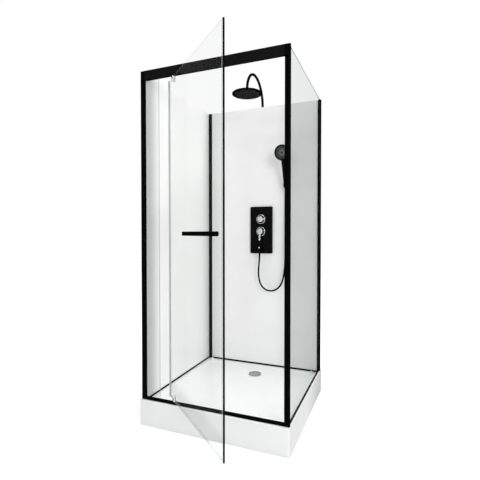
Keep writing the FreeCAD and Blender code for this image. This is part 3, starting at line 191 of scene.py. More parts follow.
def sheet_of(name, dark, light, mirror, slant, milk=0.0):
    """The faces of a clear sheet. Sight passes straight through with a faint tint that deepens
    by slant where it is slanted; mirror is the share of the reflection that the coating leaves,
    and milk the share that scatters."""
    material, tree, shader = new_material(name)
    tree.nodes.remove(shader)
    kept = kept_at_slant(tree, slant, SLANT_POWER)
    tint = tinted(tree, noise(tree, TINT_SCALE, TINT_DETAIL), dark, light)
    body = tree.nodes.new("ShaderNodeBsdfTransparent")
    tree.links.new(scaled(tree, tint, kept), body.inputs["Color"])
    if milk:
        white = tree.nodes.new("ShaderNodeBsdfDiffuse")
        white.inputs["Color"].default_value = MILK
        body = mixed(tree, milk, body, white)
    gloss = tree.nodes.new("ShaderNodeBsdfGlossy")
    gloss.inputs["Roughness"].default_value = 0.0
    gloss.inputs["Color"].default_value = WHITE
    fresnel = tree.nodes.new("ShaderNodeFresnel")
    fresnel.inputs["IOR"].default_value = GLASS_IOR
    side = tree.nodes.new("ShaderNodeNewGeometry")
    outer = worked_out(tree, "SUBTRACT", 1.0, side.outputs["Backfacing"])
    reflected = worked_out(tree, "MULTIPLY", fresnel.outputs["Fac"], outer)
    face = mixed(tree, worked_out(tree, "MULTIPLY", reflected, mirror), body, gloss)
    tree.links.new(face.outputs[0], tree.nodes["Material Output"].inputs["Surface"])
    return material


def rim_of(name, dark, light, clearness):
    """The cut edge of a clear sheet: tinted, silky and partly see-through."""
    material = finish_of(name, dark, light, (0.12, 0.22), 300.0, 0.05)
    shader = material.node_tree.nodes["Principled BSDF"]
    shader.inputs["Transmission Weight"].default_value = clearness
    return material


def painted_shade_towards(material, line, reach, depth, weights=(1.0, 1.0, 0.0), core=0.0):
    """Paints shade into a surface's colour: darkens it softly, by the share depth, near a line or
    plane at (x, y, z); full painted shade within core."""
    tree = material.node_tree
    shader = tree.nodes.get("Principled BSDF") or tree.nodes["Transparent BSDF"]
    base = shader.inputs[0]
    place = tree.nodes.new("ShaderNodeTexCoord")
    parts = tree.nodes.new("ShaderNodeSeparateXYZ")
    tree.links.new(place.outputs["Object"], parts.inputs[0])
    aside = []
    for axis, value, weight in zip("XYZ", line, weights):
        offset = worked_out(tree, "SUBTRACT", parts.outputs[axis], value)
        aside.append(worked_out(tree, "MULTIPLY", worked_out(tree, "ABSOLUTE", offset, 0.0),
                                weight))
    away = worked_out(tree, "ADD", worked_out(tree, "ADD", aside[0], aside[1]), aside[2])
    kept = tree.nodes.new("ShaderNodeMapRange")
    kept.interpolation_type = "SMOOTHSTEP"
    kept.inputs["From Min"].default_value = core
    kept.inputs["From Max"].default_value = reach
    kept.inputs["To Min"].default_value = 1.0 - depth
    kept.inputs["To Max"].default_value = 1.0
    tree.links.new(away, kept.inputs["Value"])
    before = base.links[0].from_socket
    tree.links.new(scaled(tree, before, kept.outputs["Result"]), base)


def painted_dark_rim(material, depth, power):
    """Paints a dark reflection into a bright finish: darkens it by the share depth where it turns
    away from the eye; a high power keeps it to the rim."""
    tree = material.node_tree
    base = tree.nodes["Principled BSDF"].inputs["Base Color"]
    before = base.links[0].from_socket
    tree.links.new(scaled(tree, before, kept_at_slant(tree, depth, power)), base)


# Finishes: dark and light colour, roughness range, grain per metre, relief

black_coat = finish_of(
    "black_coat", (0.0026, 0.0026, 0.0027), (0.0040, 0.0040, 0.0041), (0.34, 0.46), 900.0, 0.10,
    sheen=0.0)
# A lighter copy of black_coat for the top rail: painted light where its front catches the lamps
painted_light_header_black = finish_of(
    "painted_light_header_black", (0.0075, 0.0075, 0.0077), (0.0100, 0.0100, 0.0102), (0.34, 0.46), 900.0, 0.10,
    sheen=0.0)
black_satin = finish_of(
    "black_satin", (0.0015, 0.0015, 0.0016), (0.0026, 0.0026, 0.0027), (0.28, 0.38), 1200.0, 0.06,
    sheen=0.05)
black_matt = finish_of(
    "black_matt", (0.0026, 0.0026, 0.0027), (0.0040, 0.0040, 0.0041), (0.42, 0.55), 1500.0, 0.10,
    sheen=0.02)
rain_black = finish_of(
    "rain_black", (0.0010, 0.0010, 0.0011), (0.0018, 0.0018, 0.0019), (0.40, 0.50), 1200.0, 0.05,
    sheen=0.0)
rain_grey = finish_of(
    "rain_grey", (0.19, 0.19, 0.192), (0.24, 0.24, 0.242), (0.45, 0.6), 900.0, 0.1, sheen=0.1)
nozzle_grey = finish_of(
    "nozzle_grey", (0.26, 0.26, 0.262), (0.33, 0.33, 0.332), (0.45, 0.6), 900.0, 0.1, sheen=0.1)
spray_grey = finish_of(
    "spray_grey", (0.016, 0.016, 0.017), (0.022, 0.022, 0.023), (0.35, 0.5), 900.0, 0.08,
    sheen=0.1)
spray_field_grey = finish_of(
    "spray_field_grey", (0.075, 0.075, 0.077), (0.095, 0.095, 0.097), (0.4, 0.5), 700.0, 0.06)
black_rubber = finish_of(
    "black_rubber", (0.003, 0.003, 0.003), (0.005, 0.005, 0.005), (0.5, 0.7), 700.0, 0.15,
    sheen=0.0)
grey_plastic = finish_of(
    "grey_plastic", (0.24, 0.245, 0.25), (0.30, 0.305, 0.31), (0.45, 0.6), 500.0, 0.12)
acrylic = finish_of(
    "acrylic", (0.89, 0.895, 0.90), (0.915, 0.918, 0.92), (0.12, 0.20), 400.0, 0.01, coat=0.03,
    sheen=0.12)
wall_white = finish_of(
    "wall_white", (0.925, 0.923, 0.920), (0.945, 0.943, 0.940), (0.14, 0.20), 400.0, 0.004,
    coat=0.15)
chrome = finish_of(
    "chrome", (0.78, 0.79, 0.80), (0.86, 0.87, 0.88), (0.08, 0.16), 400.0, 0.03, metallic=1.0)
clamp_chrome = finish_of(
    "clamp_chrome", (0.78, 0.79, 0.80), (0.84, 0.85, 0.86), (0.10, 0.18), 400.0, 0.03,
    metallic=1.0)
# A darker copy of chrome for the drain cover: a painted darker reflection
painted_dark_drain_chrome = finish_of(
    "painted_dark_drain_chrome", (0.30, 0.305, 0.31), (0.36, 0.365, 0.37), (0.18, 0.28), 300.0, 0.05,
    metallic=1.0)
steel = finish_of(
    "steel", (0.42, 0.42, 0.43), (0.52, 0.52, 0.53), (0.25, 0.4), 500.0, 0.08, metallic=1.0,
    stretch=(1.0, 1.0, 8.0))
aluminium = finish_of(
    "aluminium", (0.55, 0.55, 0.56), (0.66, 0.66, 0.67), (0.3, 0.45), 500.0, 0.08, metallic=1.0,
    stretch=(1.0, 8.0, 1.0))
brass = finish_of(
    "brass", (0.50, 0.33, 0.12), (0.62, 0.43, 0.17), (0.2, 0.36), 260.0, 0.12, metallic=1.0)

# Clear sheets: dark and light tint, mirror share, slant, scattered share

clear_glass = sheet_of(
    "clear_glass", (0.937, 0.946, 0.942), (0.943, 0.952, 0.948), 0.16, 0.24)
side_glass = sheet_of(
    "side_glass", (0.945, 0.954, 0.951), (0.951, 0.960, 0.957), 0.008, 0.14)
door_sheet = sheet_of(
    "door_sheet", (0.962, 0.967, 0.964), (0.968, 0.973, 0.970), 0.08, 0.0)
clear_seal = sheet_of(
    "clear_seal", (0.930, 0.940, 0.936), (0.936, 0.946, 0.942), 0.20, 0.10, milk=0.45)
edge_seal = sheet_of(
    "edge_seal", (0.955, 0.962, 0.959), (0.961, 0.968, 0.965), 0.12, 0.0, milk=0.12)
drip_seal = sheet_of(
    "drip_seal", (0.970, 0.976, 0.973), (0.975, 0.981, 0.978), 0.10, 0.0, milk=0.08)
door_rim = sheet_of(
    "door_rim", (0.86, 0.89, 0.88), (0.88, 0.91, 0.90), 0.10, 0.0, milk=0.06)
glass_rim = rim_of("glass_rim", (0.50, 0.60, 0.56), (0.56, 0.66, 0.62), 0.4)
seal_rim = rim_of("seal_rim", (0.70, 0.73, 0.72), (0.76, 0.79, 0.78), 0.4)

# Painted shade: soft darkening painted into the colour of the walls' inner faces, the tray's right
# and back sides, the cover's back, the door's foot and the pane's end inside its post; and a
# painted dark reflection towards the rims of the chrome

left_wall_face, back_wall_face, right_wall_end = -0.433, 0.422, 0.4305
tray_side = 0.45
only_x, only_y, only_z = (1.0, 0.0, 0.0), (0.0, 1.0, 0.0), (0.0, 0.0, 1.0)
along_left_wall, along_back_wall = (80.0, 1.0, 0.0), (1.0, 80.0, 0.0)
along_tray_side = (100.0, 1.0, 0.0)
# Painted shadow of the front-left post on the left wall, and painted corner shade where the left
# and back walls meet and towards the back wall's right end
painted_shade_towards(wall_white, (left_wall_face, -0.421, 0.0), 0.15, 0.37, along_left_wall, core=0.045)
painted_shade_towards(wall_white, (left_wall_face, 0.4205, 0.0), 0.16, 0.16, along_left_wall)
painted_shade_towards(wall_white, (-0.4325, back_wall_face, 0.0), 0.16, 0.16, along_back_wall)
painted_shade_towards(wall_white, (right_wall_end, back_wall_face, 0.0), 0.34, 0.17, along_back_wall,
               core=0.18)
# Painted shade on the tray's outer right side, deepening towards its back end
painted_shade_towards(acrylic, (tray_side, 0.0, 0.0), 0.003, 0.29, only_x)
painted_shade_towards(acrylic, (tray_side, tray_side, 0.0), 0.55, 0.58, along_tray_side)
# Painted shade along the drain cover's back edge
painted_shade_towards(painted_dark_drain_chrome, (0.007, 0.318, 0.0), 0.030, 0.62, only_y, core=0.003)
# Painted shade: the door glass's tint is darker towards its foot
painted_shade_towards(door_sheet, (0.0, 0.0, 0.19), 0.12, 0.07, only_z, core=0.04)
# Painted shade on the side pane's cut edge where it sits inside the back-right post
painted_shade_towards(glass_rim, (0.0, 0.420, 0.0), 0.006, 0.97, only_y, core=0.003)
# Painted dark reflection towards the rims of the pivot clamps and of the other chrome
painted_dark_rim(clamp_chrome, 0.97, 3.0)
painted_dark_rim(chrome, 1.0, 0.5)

slot_materials = {
    "tray_acrylic": acrylic,
    "white_panel": wall_white,
    "black_profile": black_coat,
    "black_metal": black_satin,
    "black_plastic": black_matt,
    "dark_grey_plastic": spray_grey,
    "black_hose": black_satin,
    "black_rubber": black_rubber,
    "clear_glass": clear_glass,
    "clear_seal": clear_seal,
    "chrome": chrome,
    "steel": steel,
    "aluminium": aluminium,
    "brass": brass,
    "grey_plastic": grey_plastic,
}
node_slots = {part["node"]: part["material_slot"] for part in frame["record"]["subparts"]}
for node_name, node_object in nodes.items():
    material = slot_materials[node_slots[node_name]]
    if not node_object.material_slots:
        node_object.data.materials.append(material)
    for material_slot in node_object.material_slots:
        material_slot.material = material


# Places and directions, in metres

across = Vector((1, 0, 0))
into = Vector((0, 1, 0))
room = Vector((0, -1, 0))
upright = Matrix.Identity(4)
service = 0.007
diverter_height, mixer_height, outlet_height = 1.227, 1.136, 1.017
plate_front = 0.404
knob_depth, lever_depth, outlet_depth = 0.3927, 0.3804, 0.370
drain_depth = 0.271
foot_reach = 0.360
pivot = Vector((-0.2265, -0.430, 0.0))
door_angle = math.radians(-40.18)
door_turn = (Matrix.Translation(pivot) @ Matrix.Rotation(door_angle, 4, "Z")
             @ Matrix.Translation(-pivot))
door_normal = door_turn.to_3x3() @ into


# Building helpers

def facing(origin, axis):
    """A local frame whose Z runs along axis."""
    turn = Vector((0, 0, 1)).rotation_difference(Vector(axis).normalized()).to_matrix().to_4x4()
    return Matrix.Translation(Vector(origin)) @ turn


def enrolled(piece, body, replaced):
    """Links a piece, sets it on its body and hides the CAD nodes that it stands for."""
    scene.collection.objects.link(piece)
    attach(piece, body)
    if replaced:
        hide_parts(*replaced)
    return piece


def add(name, bm, body, replaced, material, place=upright, sharp=35.0):
    """Puts a built mesh into the scene on its body, standing for its CAD nodes."""
    mesh = bpy.data.meshes.new(name)
    bmesh.ops.recalc_face_normals(bm, faces=bm.faces[:])
    bm.to_mesh(mesh)
    bm.free()
    mesh.transform(place)
    mesh.shade_smooth()
    mesh.set_sharp_from_angle(angle=math.radians(sharp))
    mesh.materials.append(material)
    piece = bpy.data.objects.new(name, mesh)
    normals = piece.modifiers.new("flat faces stay flat", "WEIGHTED_NORMAL")
    normals.keep_sharp = True
    normals.weight = 90
    return enrolled(piece, body, replaced)


def round_point(radius, angle, height):
    """A point on a circle about Z."""
    return radius * math.cos(angle), radius * math.sin(angle), height


def skinned(bm, rings, capped=True):
    """Joins neighbouring rings with faces and closes both ends."""
    for low, high in zip(rings, rings[1:]):
        for k in range(len(low)):
            n = (k + 1) % len(low)
            bm.faces.new((low[k], low[n], high[n], high[k]))
    if capped:
        bm.faces.new(rings[0][::-1])
        bm.faces.new(rings[-1])
    return bm


def rounded_profile(points, radius, steps=4):
    """The open outline with its inner corners rounded, for turned pieces."""
    result = [Vector(points[0])]
    for before, corner, after in zip(points, points[1:], points[2:]):
        a = Vector(before) - Vector(corner)
        b = Vector(after) - Vector(corner)
        cut = min(radius, a.length * 0.45, b.length * 0.45)
        start = Vector(corner) + a.normalized() * cut
        end = Vector(corner) + b.normalized() * cut
        for k in range(steps + 1):
            t = k / steps
            result.append(start * (1 - t) ** 2 + Vector(corner) * 2 * t * (1 - t) + end * t ** 2)
    result.append(Vector(points[-1]))
    return result


def turned(profile, segments=64):
    """A turned solid about Z from (radius, height) points."""
    bm = bmesh.new()
    rings = []
    for radius, height in profile:
        if radius < 1e-6:
            rings.append([bm.verts.new((0, 0, height))])
            continue
        rings.append([bm.verts.new(round_point(radius, 2 * math.pi * k / segments, height))
                      for k in range(segments)])
    for low, high in zip(rings, rings[1:]):
        for k in range(segments):
            n = (k + 1) % segments
            if len(low) == 1 and len(high) == 1:
                continue
            if len(low) == 1:
                bm.faces.new((low[0], high[k], high[n]))
            elif len(high) == 1:
                bm.faces.new((low[k], low[n], high[0]))
            else:
                bm.faces.new((low[k], low[n], high[n], high[k]))
    return bm


def revolved(points, radius=0.0, segments=64, steps=4):
    """A turned solid from (radius, height) points in millimetres, its corners rounded."""
    outline = [Vector((a / PER_METRE, b / PER_METRE)) for a, b in points]
    if radius:
        outline = rounded_profile(outline, radius / PER_METRE, steps)
    return turned(outline, segments)


def fluted(points, count, depth, finish):
    """A turned solid in millimetres with lengthwise flutes; finish gives the share of their
    depth at each point."""
    bm = bmesh.new()
    rings = []
    steps = count * 4
    for (radius, height), amount in zip(points, finish):
        ring = []
        for k in range(steps):
            wave = 1.0 if k % 4 in (0, 1) else 0.0
            r = (radius - depth * amount * (1.0 - wave)) / PER_METRE
            ring.append(bm.verts.new(round_point(r, 2 * math.pi * k / steps, height / PER_METRE)))
        rings.append(ring)
    return skinned(bm, rings)


def lofted(sections, points=28):
    """A smooth body through (centre, side, up, half width, half height, squareness) sections, in
    metres."""
    bm = bmesh.new()
    rings = []
    for centre, side, up, wide, high, square in sections:
        ring = []
        for k in range(points):
            angle = 2 * math.pi * k / points
            c, s = math.cos(angle), math.sin(angle)
            x = math.copysign(abs(c) ** (2 / square), c) * wide
            y = math.copysign(abs(s) ** (2 / square), s) * high
            ring.append(bm.verts.new(Vector(centre) + Vector(side) * x + Vector(up) * y))
        rings.append(ring)
    return skinned(bm, rings)


def block(size, radius, steps=3):
    """A box with rounded edges, centred on its own origin."""
    bm = bmesh.new()
    bmesh.ops.create_cube(bm, size=1.0)
    bmesh.ops.scale(bm, vec=size, verts=bm.verts[:])
    bmesh.ops.bevel(bm, geom=bm.edges[:], offset=radius, segments=steps, profile=0.5,
                    affect="EDGES")
    return bm


def merged(parts):
    """One mesh from several (mesh, matrix) pairs."""
    whole = bmesh.new()
    for bm, place in parts:
        mesh = bpy.data.meshes.new("part")
        bm.to_mesh(mesh)
        bm.free()
        mesh.transform(place)
        whole.from_mesh(mesh)
        bpy.data.meshes.remove(mesh)
    return whole


def spline_object(name, points, radius, body, replaced, material, kind="NURBS"):
    """A round tube on a smooth line."""
    curve = bpy.data.curves.new(name, "CURVE")
    curve.dimensions = "3D"
    curve.bevel_depth = radius
    curve.bevel_resolution = 8
    curve.resolution_u = 12
    curve.use_fill_caps = True
    spline = curve.splines.new(kind)
    spline.points.add(len(points) - 1)
    for point, place in zip(spline.points, points):
        point.co = (*place, 1.0)
    if kind == "NURBS":
        spline.order_u = 3
        spline.use_endpoint_u = True
    spline.use_smooth = True
    curve.materials.append(material)
    return enrolled(bpy.data.objects.new(name, curve), body, replaced)


def welded(node):
    """A node's mesh, its loose triangles joined."""
    bm = bmesh.new()
    bm.from_mesh(nodes[node].data)
    bmesh.ops.remove_doubles(bm, verts=bm.verts[:], dist=WELD_GAP)
    return bm


def softened(name, node, body, radius, material, slot_name, limit=30.0, thin=None, rim=None):
    """A copy of a node's form with rounded edges. Along a sheet's thin direction the faces stay
    clear and the rim takes its own material."""
    bm = welded(node)
    bmesh.ops.dissolve_limit(bm, angle_limit=math.radians(FLAT_ANGLE), verts=bm.verts[:],
                             edges=bm.edges[:])
    edges = [e for e in bm.edges
             if len(e.link_faces) == 2 and e.calc_face_angle() > math.radians(limit)]
    bmesh.ops.bevel(bm, geom=edges, offset=radius, segments=2, profile=0.5, affect="EDGES",
                    clamp_overlap=True)
    piece = add(name, bm, body, [node], material)
    if rim:
        piece.data.materials.append(rim)
        for polygon in piece.data.polygons:
            polygon.material_index = 0 if abs(polygon.normal.dot(thin)) > 0.9 else 1
    return piece


# Pieces that keep their CAD form, with softened edges

for name, node, body, material, thin, rim in (
        ("door_pane", "door_glass", "door", door_sheet, door_normal, door_rim),
        ("front_pane", "fixed_front_glass", "root", clear_glass, into, glass_rim),
        ("side_pane", "right_side_glass", "root", side_glass, across, glass_rim)):
    softened(name, node, body, 0.0006, material, "clear_glass", thin=thin, rim=rim)
for node, material, rim in (
        ("door_edge_seal", edge_seal, door_rim),
        ("door_tail_seal", clear_seal, seal_rim),
        ("door_drip_seal", drip_seal, door_rim)):
    softened(node + "_form", node, "door", 0.0003, material, "clear_seal", thin=door_normal,
             rim=rim)
for node in ("front_left_post", "front_right_post", "bottom_sill", "back_left_post",
             "back_right_post"):
    softened(node + "_form", node, "root", 0.0008, black_coat, "black_profile")
softened("top_rail_form", "top_rail", "root", 0.0008, painted_light_header_black, "black_profile")
for node in ("left_rail", "back_rail", "right_rail"):
    softened(node + "_form", node, "root", 0.0005, black_coat, "black_profile")

# Name, node, body, edge radius, material, slot, least angle of a softened edge
for row in (
        ("back_wall", "back_wall_panel", "root", 0.0008, wall_white, "white_panel", 30.0),
        ("left_wall", "left_wall_panel", "root", 0.0008, wall_white, "white_panel", 30.0),
        ("clamp_fronts", "pivot_clamps", "door", 0.0008, clamp_chrome, "chrome", 30.0),
        ("clamp_rears", "pivot_clamp_backs", "door", 0.0008, clamp_chrome, "chrome", 30.0),
        ("holder_form", "handset_holder", "root", 0.0008, black_matt, "black_plastic", 40.0),
        ("swivel_nut_form", "swivel_nut", "overhead_shower", 0.0006, black_satin, "black_metal",
         40.0),
        ("plate_form", "control_plate", "root", 0.0007, black_satin, "black_metal", 40.0),
        ("valve_form", "valve_body", "root", 0.0010, brass, "brass", 40.0),
        ("magnet_jamb", "jamb_magnet", "root", 0.0006, black_rubber, "black_rubber", 30.0),
        ("magnet_strip", "door_magnet_strip", "door", 0.0006, black_rubber, "black_rubber", 30.0),
        ("arm_clip_form", "arm_clip", "root", 0.0005, black_matt, "black_plastic", 40.0),
        ("flange_form", "drain_flange", "root", 0.0004, steel, "steel", 40.0),
        ("trap_form", "waste_trap", "root", 0.0008, grey_plastic, "grey_plastic", 40.0),
        ("support_form", "tray_support", "root", 0.0008, grey_plastic, "grey_plastic", 40.0)):
    softened(*row)

# Rain head and its arm

arm_bend, arm_bend_y, arm_bend_z, arm_sweep = 0.164, 0.274, 2.072, 173.0
arm_points = [(service, 0.438, z)
              for z in (1.253, 1.30, 1.45, 1.60, 1.75, 1.90, 2.00, 2.04, 2.06)]
for k in range(64):
    turn = math.radians(arm_sweep * k / 63)
    arm_points.append((service, arm_bend_y + arm_bend * math.cos(turn),
                       arm_bend_z + arm_bend * math.sin(turn)))
spline_object("arm_tube", arm_points, 0.009, "root", ["rain_arm"], black_coat,
              kind="POLY")

head_place = Matrix.Translation((service, 0.109455, 0.0))
rain_disc_outline = [
    (0, 2054.3), (94.3, 2054.3), (94.3, 2052.3), (98.2, 2052.3), (100, 2054.4), (100, 2058.4),
    (97, 2061.3), (50, 2062.0), (28, 2065.0), (15, 2068.3), (0, 2068.3)]
add("rain_disc", revolved(rain_disc_outline, 2.2, 128), "overhead_shower", ["rain_head"],
    black_coat, head_place)
rain_face_outline = [
    (0, 2054.3), (94, 2054.3), (94, 2052.3), (90, 2052.3), (89, 2052.7), (0, 2052.7)]
add("rain_face", revolved(rain_face_outline, 0.3, 96), "overhead_shower", ["rain_head_plate"],
    rain_black, head_place)
nozzle_pitch, nozzle_reach, diagonal = 19.0, 84.0, 1.41421
nozzle_outline = [
    (0, 2052.7), (3.2, 2052.7), (2.6, 2051.6), (1.7, 2049.8), (0.8, 2049.8), (0, 2050.4)]
pegs = []
for i in range(-7, 8):
    for j in range(-7, 8):
        x = (i + j) * nozzle_pitch / diagonal
        y = (i - j) * nozzle_pitch / diagonal
        if math.hypot(x, y) <= nozzle_reach:
            place = head_place @ Matrix.Translation((x / PER_METRE, y / PER_METRE, 0))
            pegs.append((revolved(nozzle_outline, 0.3, 14, 2), place))
add("rain_nozzles", merged(pegs), "overhead_shower", [], rain_grey)


# Knobs and lever on the control plate

def on_plate(height, depth):
    """A frame on the wall whose Z looks into the room."""
    return facing((service, depth, height), room)


def on_spindle(height, depth):
    """A frame on a tap's axis whose Z looks into the room and whose Y looks up."""
    return Matrix.Translation((service, depth, height)) @ Matrix.Rotation(math.radians(90), 4, "X")


bead_outline = [(35, 0), (35, 8.6), (32.6, 11), (30.6, 11), (29.4, 9.2), (29.4, 0)]
field_outline = [(29.4, 8.2), (24.0, 8.0), (23.2, 10.9), (17.3, 10.9), (17.3, 0)]
beads, fields = [], []
for height in (diverter_height, mixer_height):
    beads.append((revolved(bead_outline, 1.3, 96), on_plate(height, plate_front)))
    fields.append((revolved(field_outline, 0.5, 96), on_plate(height, plate_front)))
add("escutcheon_beads", merged(beads), "root", ["knob_escutcheons"], chrome)
add("escutcheon_fields", merged(fields), "root", [], black_satin)

knob_outline = [
    (0, -13.7), (4.5, -13.7), (4.5, 0), (22.2, 0), (23, 1.2), (23, 3.0), (22.3, 3.6), (22.3, 4.4),
    (23, 5.0), (22.4, 16.0), (20.0, 19.0), (15.0, 20.0), (0, 19.7)]
knob = revolved(knob_outline, 1.2, 96)
grip = lofted([
    (Vector((reach, 0.0, rise)), Vector((0, 1, 0)), Vector((0, 0, 1)), wide, high, square)
    for reach, rise, wide, high, square in (
        (0.000, 0.0137, 0.0055, 0.0060, 5.0),
        (0.020, 0.0137, 0.0055, 0.0060, 5.0),
        (0.032, 0.0136, 0.0053, 0.0057, 4.5),
        (0.0355, 0.0135, 0.0047, 0.0050, 3.5),
        (0.0368, 0.0134, 0.0034, 0.0038, 3.0))])
knob_place = on_spindle(diverter_height, knob_depth)
add("diverter_form", merged([(knob, knob_place), (grip, knob_place)]), "diverter",
    ["diverter_knob"], chrome, sharp=40.0)

hub_outline = [
    (0, -13.7), (4.5, -13.7), (4.5, 0), (22.3, 0), (23, 0.9), (23, 2.6), (22.2, 3.2), (22.2, 4.0),
    (23, 4.6), (23, 11.4), (22.4, 12.0), (0, 12.0)]
hub_place = on_spindle(mixer_height, knob_depth)
hub = revolved(hub_outline, 0.6, 96)
lug = block((0.0088, 0.0088, 0.0075), 0.001)
lug_place = hub_place @ Matrix.Translation((0, 0, 0.0135))
add("hub_form", merged([(hub, hub_place), (lug, lug_place)]), "mixer_turning_hub", ["mixer_hub"],
    chrome)

cap_outline = [
    (0, 0), (5, 0), (9, 0), (13, 0), (17, 0), (21, 0), (22.9, 0.3), (23, 4), (22.8, 8.6),
    (20.4, 11.3), (15.5, 12.0), (0, 11.8)]
lift_relief = math.tan(math.radians(22.5))
cap = revolved(cap_outline, 0.0, 96)
for vertex in cap.verts:
    vertex.co.z = max(vertex.co.z, max(0.0, vertex.co.y) * lift_relief)
lever_up = Vector((0, -0.990, 0.139))
lever = lofted([
    (Vector((service, y, z)), across, lever_up, wide, high, 3.2)
    for y, z, wide, high in (
        (0.3740, 1.1290, 0.0064, 0.0048),
        (0.3735, 1.1180, 0.0062, 0.0042),
        (0.3712, 1.1030, 0.0060, 0.0037),
        (0.3686, 1.0880, 0.0059, 0.0035),
        (0.3652, 1.0735, 0.0058, 0.0034),
        (0.3645, 1.0700, 0.0050, 0.0030),
        (0.3642, 1.0684, 0.0034, 0.0020))])
add("lever_form", merged([(cap, on_spindle(mixer_height, lever_depth)), (lever, upright)]),
    "mixer_lifting_lever", ["mixer_lever"], chrome, sharp=40.0)

# Outlet and hose nuts

elbow_bend, elbow_y, elbow_z, elbow_steps = 0.0105, 0.3805, 1.0065, 12
elbow_line = [(service, y, outlet_height) for y in (0.4035, 0.394, 0.3815)]
for k in range(elbow_steps + 1):
    turn = math.radians(90.0 * k / elbow_steps)
    elbow_line.append((service, elbow_y - elbow_bend * math.sin(turn),
                       elbow_z + elbow_bend * math.cos(turn)))
elbow_line.append((service, outlet_depth, 0.9962))
spline_object("elbow_tube", elbow_line, 0.0108, "root", ["outlet_elbow"], black_satin,
              kind="POLY")
rose_outline = [(0, 0), (15, 0), (15, 1.1), (13.6, 2.0), (0, 2.0)]
add("elbow_rose", revolved(rose_outline, 0.8), "root", [], black_satin,
    on_plate(outlet_height, plate_front))
stud_outline = [(0, 0), (5, 0), (5, 12.2), (4.0, 13.0), (0, 13.0)]
add("elbow_stud", revolved(stud_outline, 0.9, 40), "root", [], chrome,
    on_plate(outlet_height, outlet_depth))
lower_nut_outline = [
    (9.6, 974), (10.6, 974.6), (11, 975.6), (11, 984), (11, 992.6), (10.6, 993.4), (10.2, 996)]
lower_nut = add("lower_nut", fluted(lower_nut_outline, 18, 0.7, (0, 0, 1, 1, 1, 0, 0)), "root",
                ["lower_hose_nut"], black_satin,
                Matrix.Translation((service, outlet_depth, 0)))

# Hand shower

lean = math.radians(19.3)
hand_axis = Vector((0, -math.sin(lean), math.cos(lean)))
hand_up = across.cross(hand_axis) * -1
hand_foot = Vector((0.200, 0.385, 1.444))
hand_place = facing(hand_foot, hand_axis)
upper_nut_outline = [
    (8.2, 0), (9.0, 0.8), (9.3, 2.2), (9.6, 11.7), (10.5, 30), (11.6, 51), (11.9, 56.4),
    (11.4, 58)]
upper_nut = add("upper_nut", fluted(upper_nut_outline, 16, 0.5, (0, 0, 1, 1, 1, 1, 0, 0)),
                "hose_end", ["upper_hose_nut"], black_matt, hand_place)
face_turn = math.radians(76.0)
head_normal = Vector((0, -math.sin(face_turn), -math.cos(face_turn)))
head_middle = hand_foot + hand_axis * 0.258
face_place = facing(head_middle, head_normal)
neck_length, neck_radius = 0.196, 0.0139
sections = []
for distance, radius in (
        (0.05805, 0.0108), (0.0592, 0.0119), (0.064, 0.0122), (0.090, 0.0126), (0.120, 0.0130),
        (0.150, 0.0134), (0.175, 0.0137), (neck_length, neck_radius)):
    sections.append((hand_foot + hand_axis * distance, across, hand_up, radius, radius, 2.0))
neck_start = hand_foot + hand_axis * neck_length
neck_end = head_middle - head_normal * 0.010 + hand_axis * 0.004
for k in range(1, 9):
    t = k / 8
    sections.append((neck_start.lerp(neck_end, t), across, hand_up, neck_radius + 0.006 * t * t,
                     0.0138 - 0.0058 * t, 2.0))
hand_head_outline = [
    (0, -12.6), (14, -12.6), (24, -11.6), (36, -6.6), (48, -0.4), (53.4, 4.0), (55, 7.5),
    (55, 17.6), (53.2, 20), (49.2, 20), (48.3, 18.4), (0, 18.0)]
add("hand_form",
    merged([(lofted(sections, 40), upright), (revolved(hand_head_outline, 3.0, 96), face_place)]),
    "hand_shower", ["handset_body"], black_matt, sharp=40.0)
spray_rim_outline = [
    (0, 18.0), (48, 18.0), (48, 19.7), (46.8, 20.0), (25, 20.0), (23.6, 19.4), (0, 19.4)]
add("spray_rim", revolved(spray_rim_outline, 0.4, 96), "hand_shower", ["handset_spray_plate"],
    black_coat, face_place)
spray_field_outline = [(0, 19.4), (23.4, 19.4), (22.6, 20.3), (0, 20.6)]
add("spray_field", revolved(spray_field_outline, 0.4, 64), "hand_shower", [], spray_field_grey,
    face_place)
button_outline = [(0, 20.4), (6.5, 20.4), (6.3, 21.4), (0, 21.6)]
add("spray_button", revolved(button_outline, 0.5, 40), "hand_shower", [], black_matt,
    face_place)
outer_peg_outline = [(0, 20.0), (2.1, 20.0), (1.7, 20.9), (1.2, 21.5), (0, 21.3)]
inner_peg_outline = [(0, 20.3), (1.1, 20.3), (0.7, 21.4), (0, 21.3)]
pegs = []


def peg_at(outline, reach, turn):
    """One nozzle of the spray face with its place."""
    place = Matrix.Translation((reach * math.cos(turn), reach * math.sin(turn), 0))
    return revolved(outline, 0.2, 12, 2), face_place @ place


for row in range(24):
    for ring in range(3):
        turn = 2 * math.pi * (row + 0.5 * (ring % 2)) / 24
        pegs.append(peg_at(outer_peg_outline, 0.0285 + 0.0070 * ring, turn))
for ring in range(1, 3):
    for k in range(8 * ring):
        turn = 2 * math.pi * k / (8 * ring)
        pegs.append(peg_at(inner_peg_outline, 0.0055 + 0.0065 * ring, turn))
add("spray_nozzles", merged(pegs), "hand_shower", [], nozzle_grey)

# Door handle

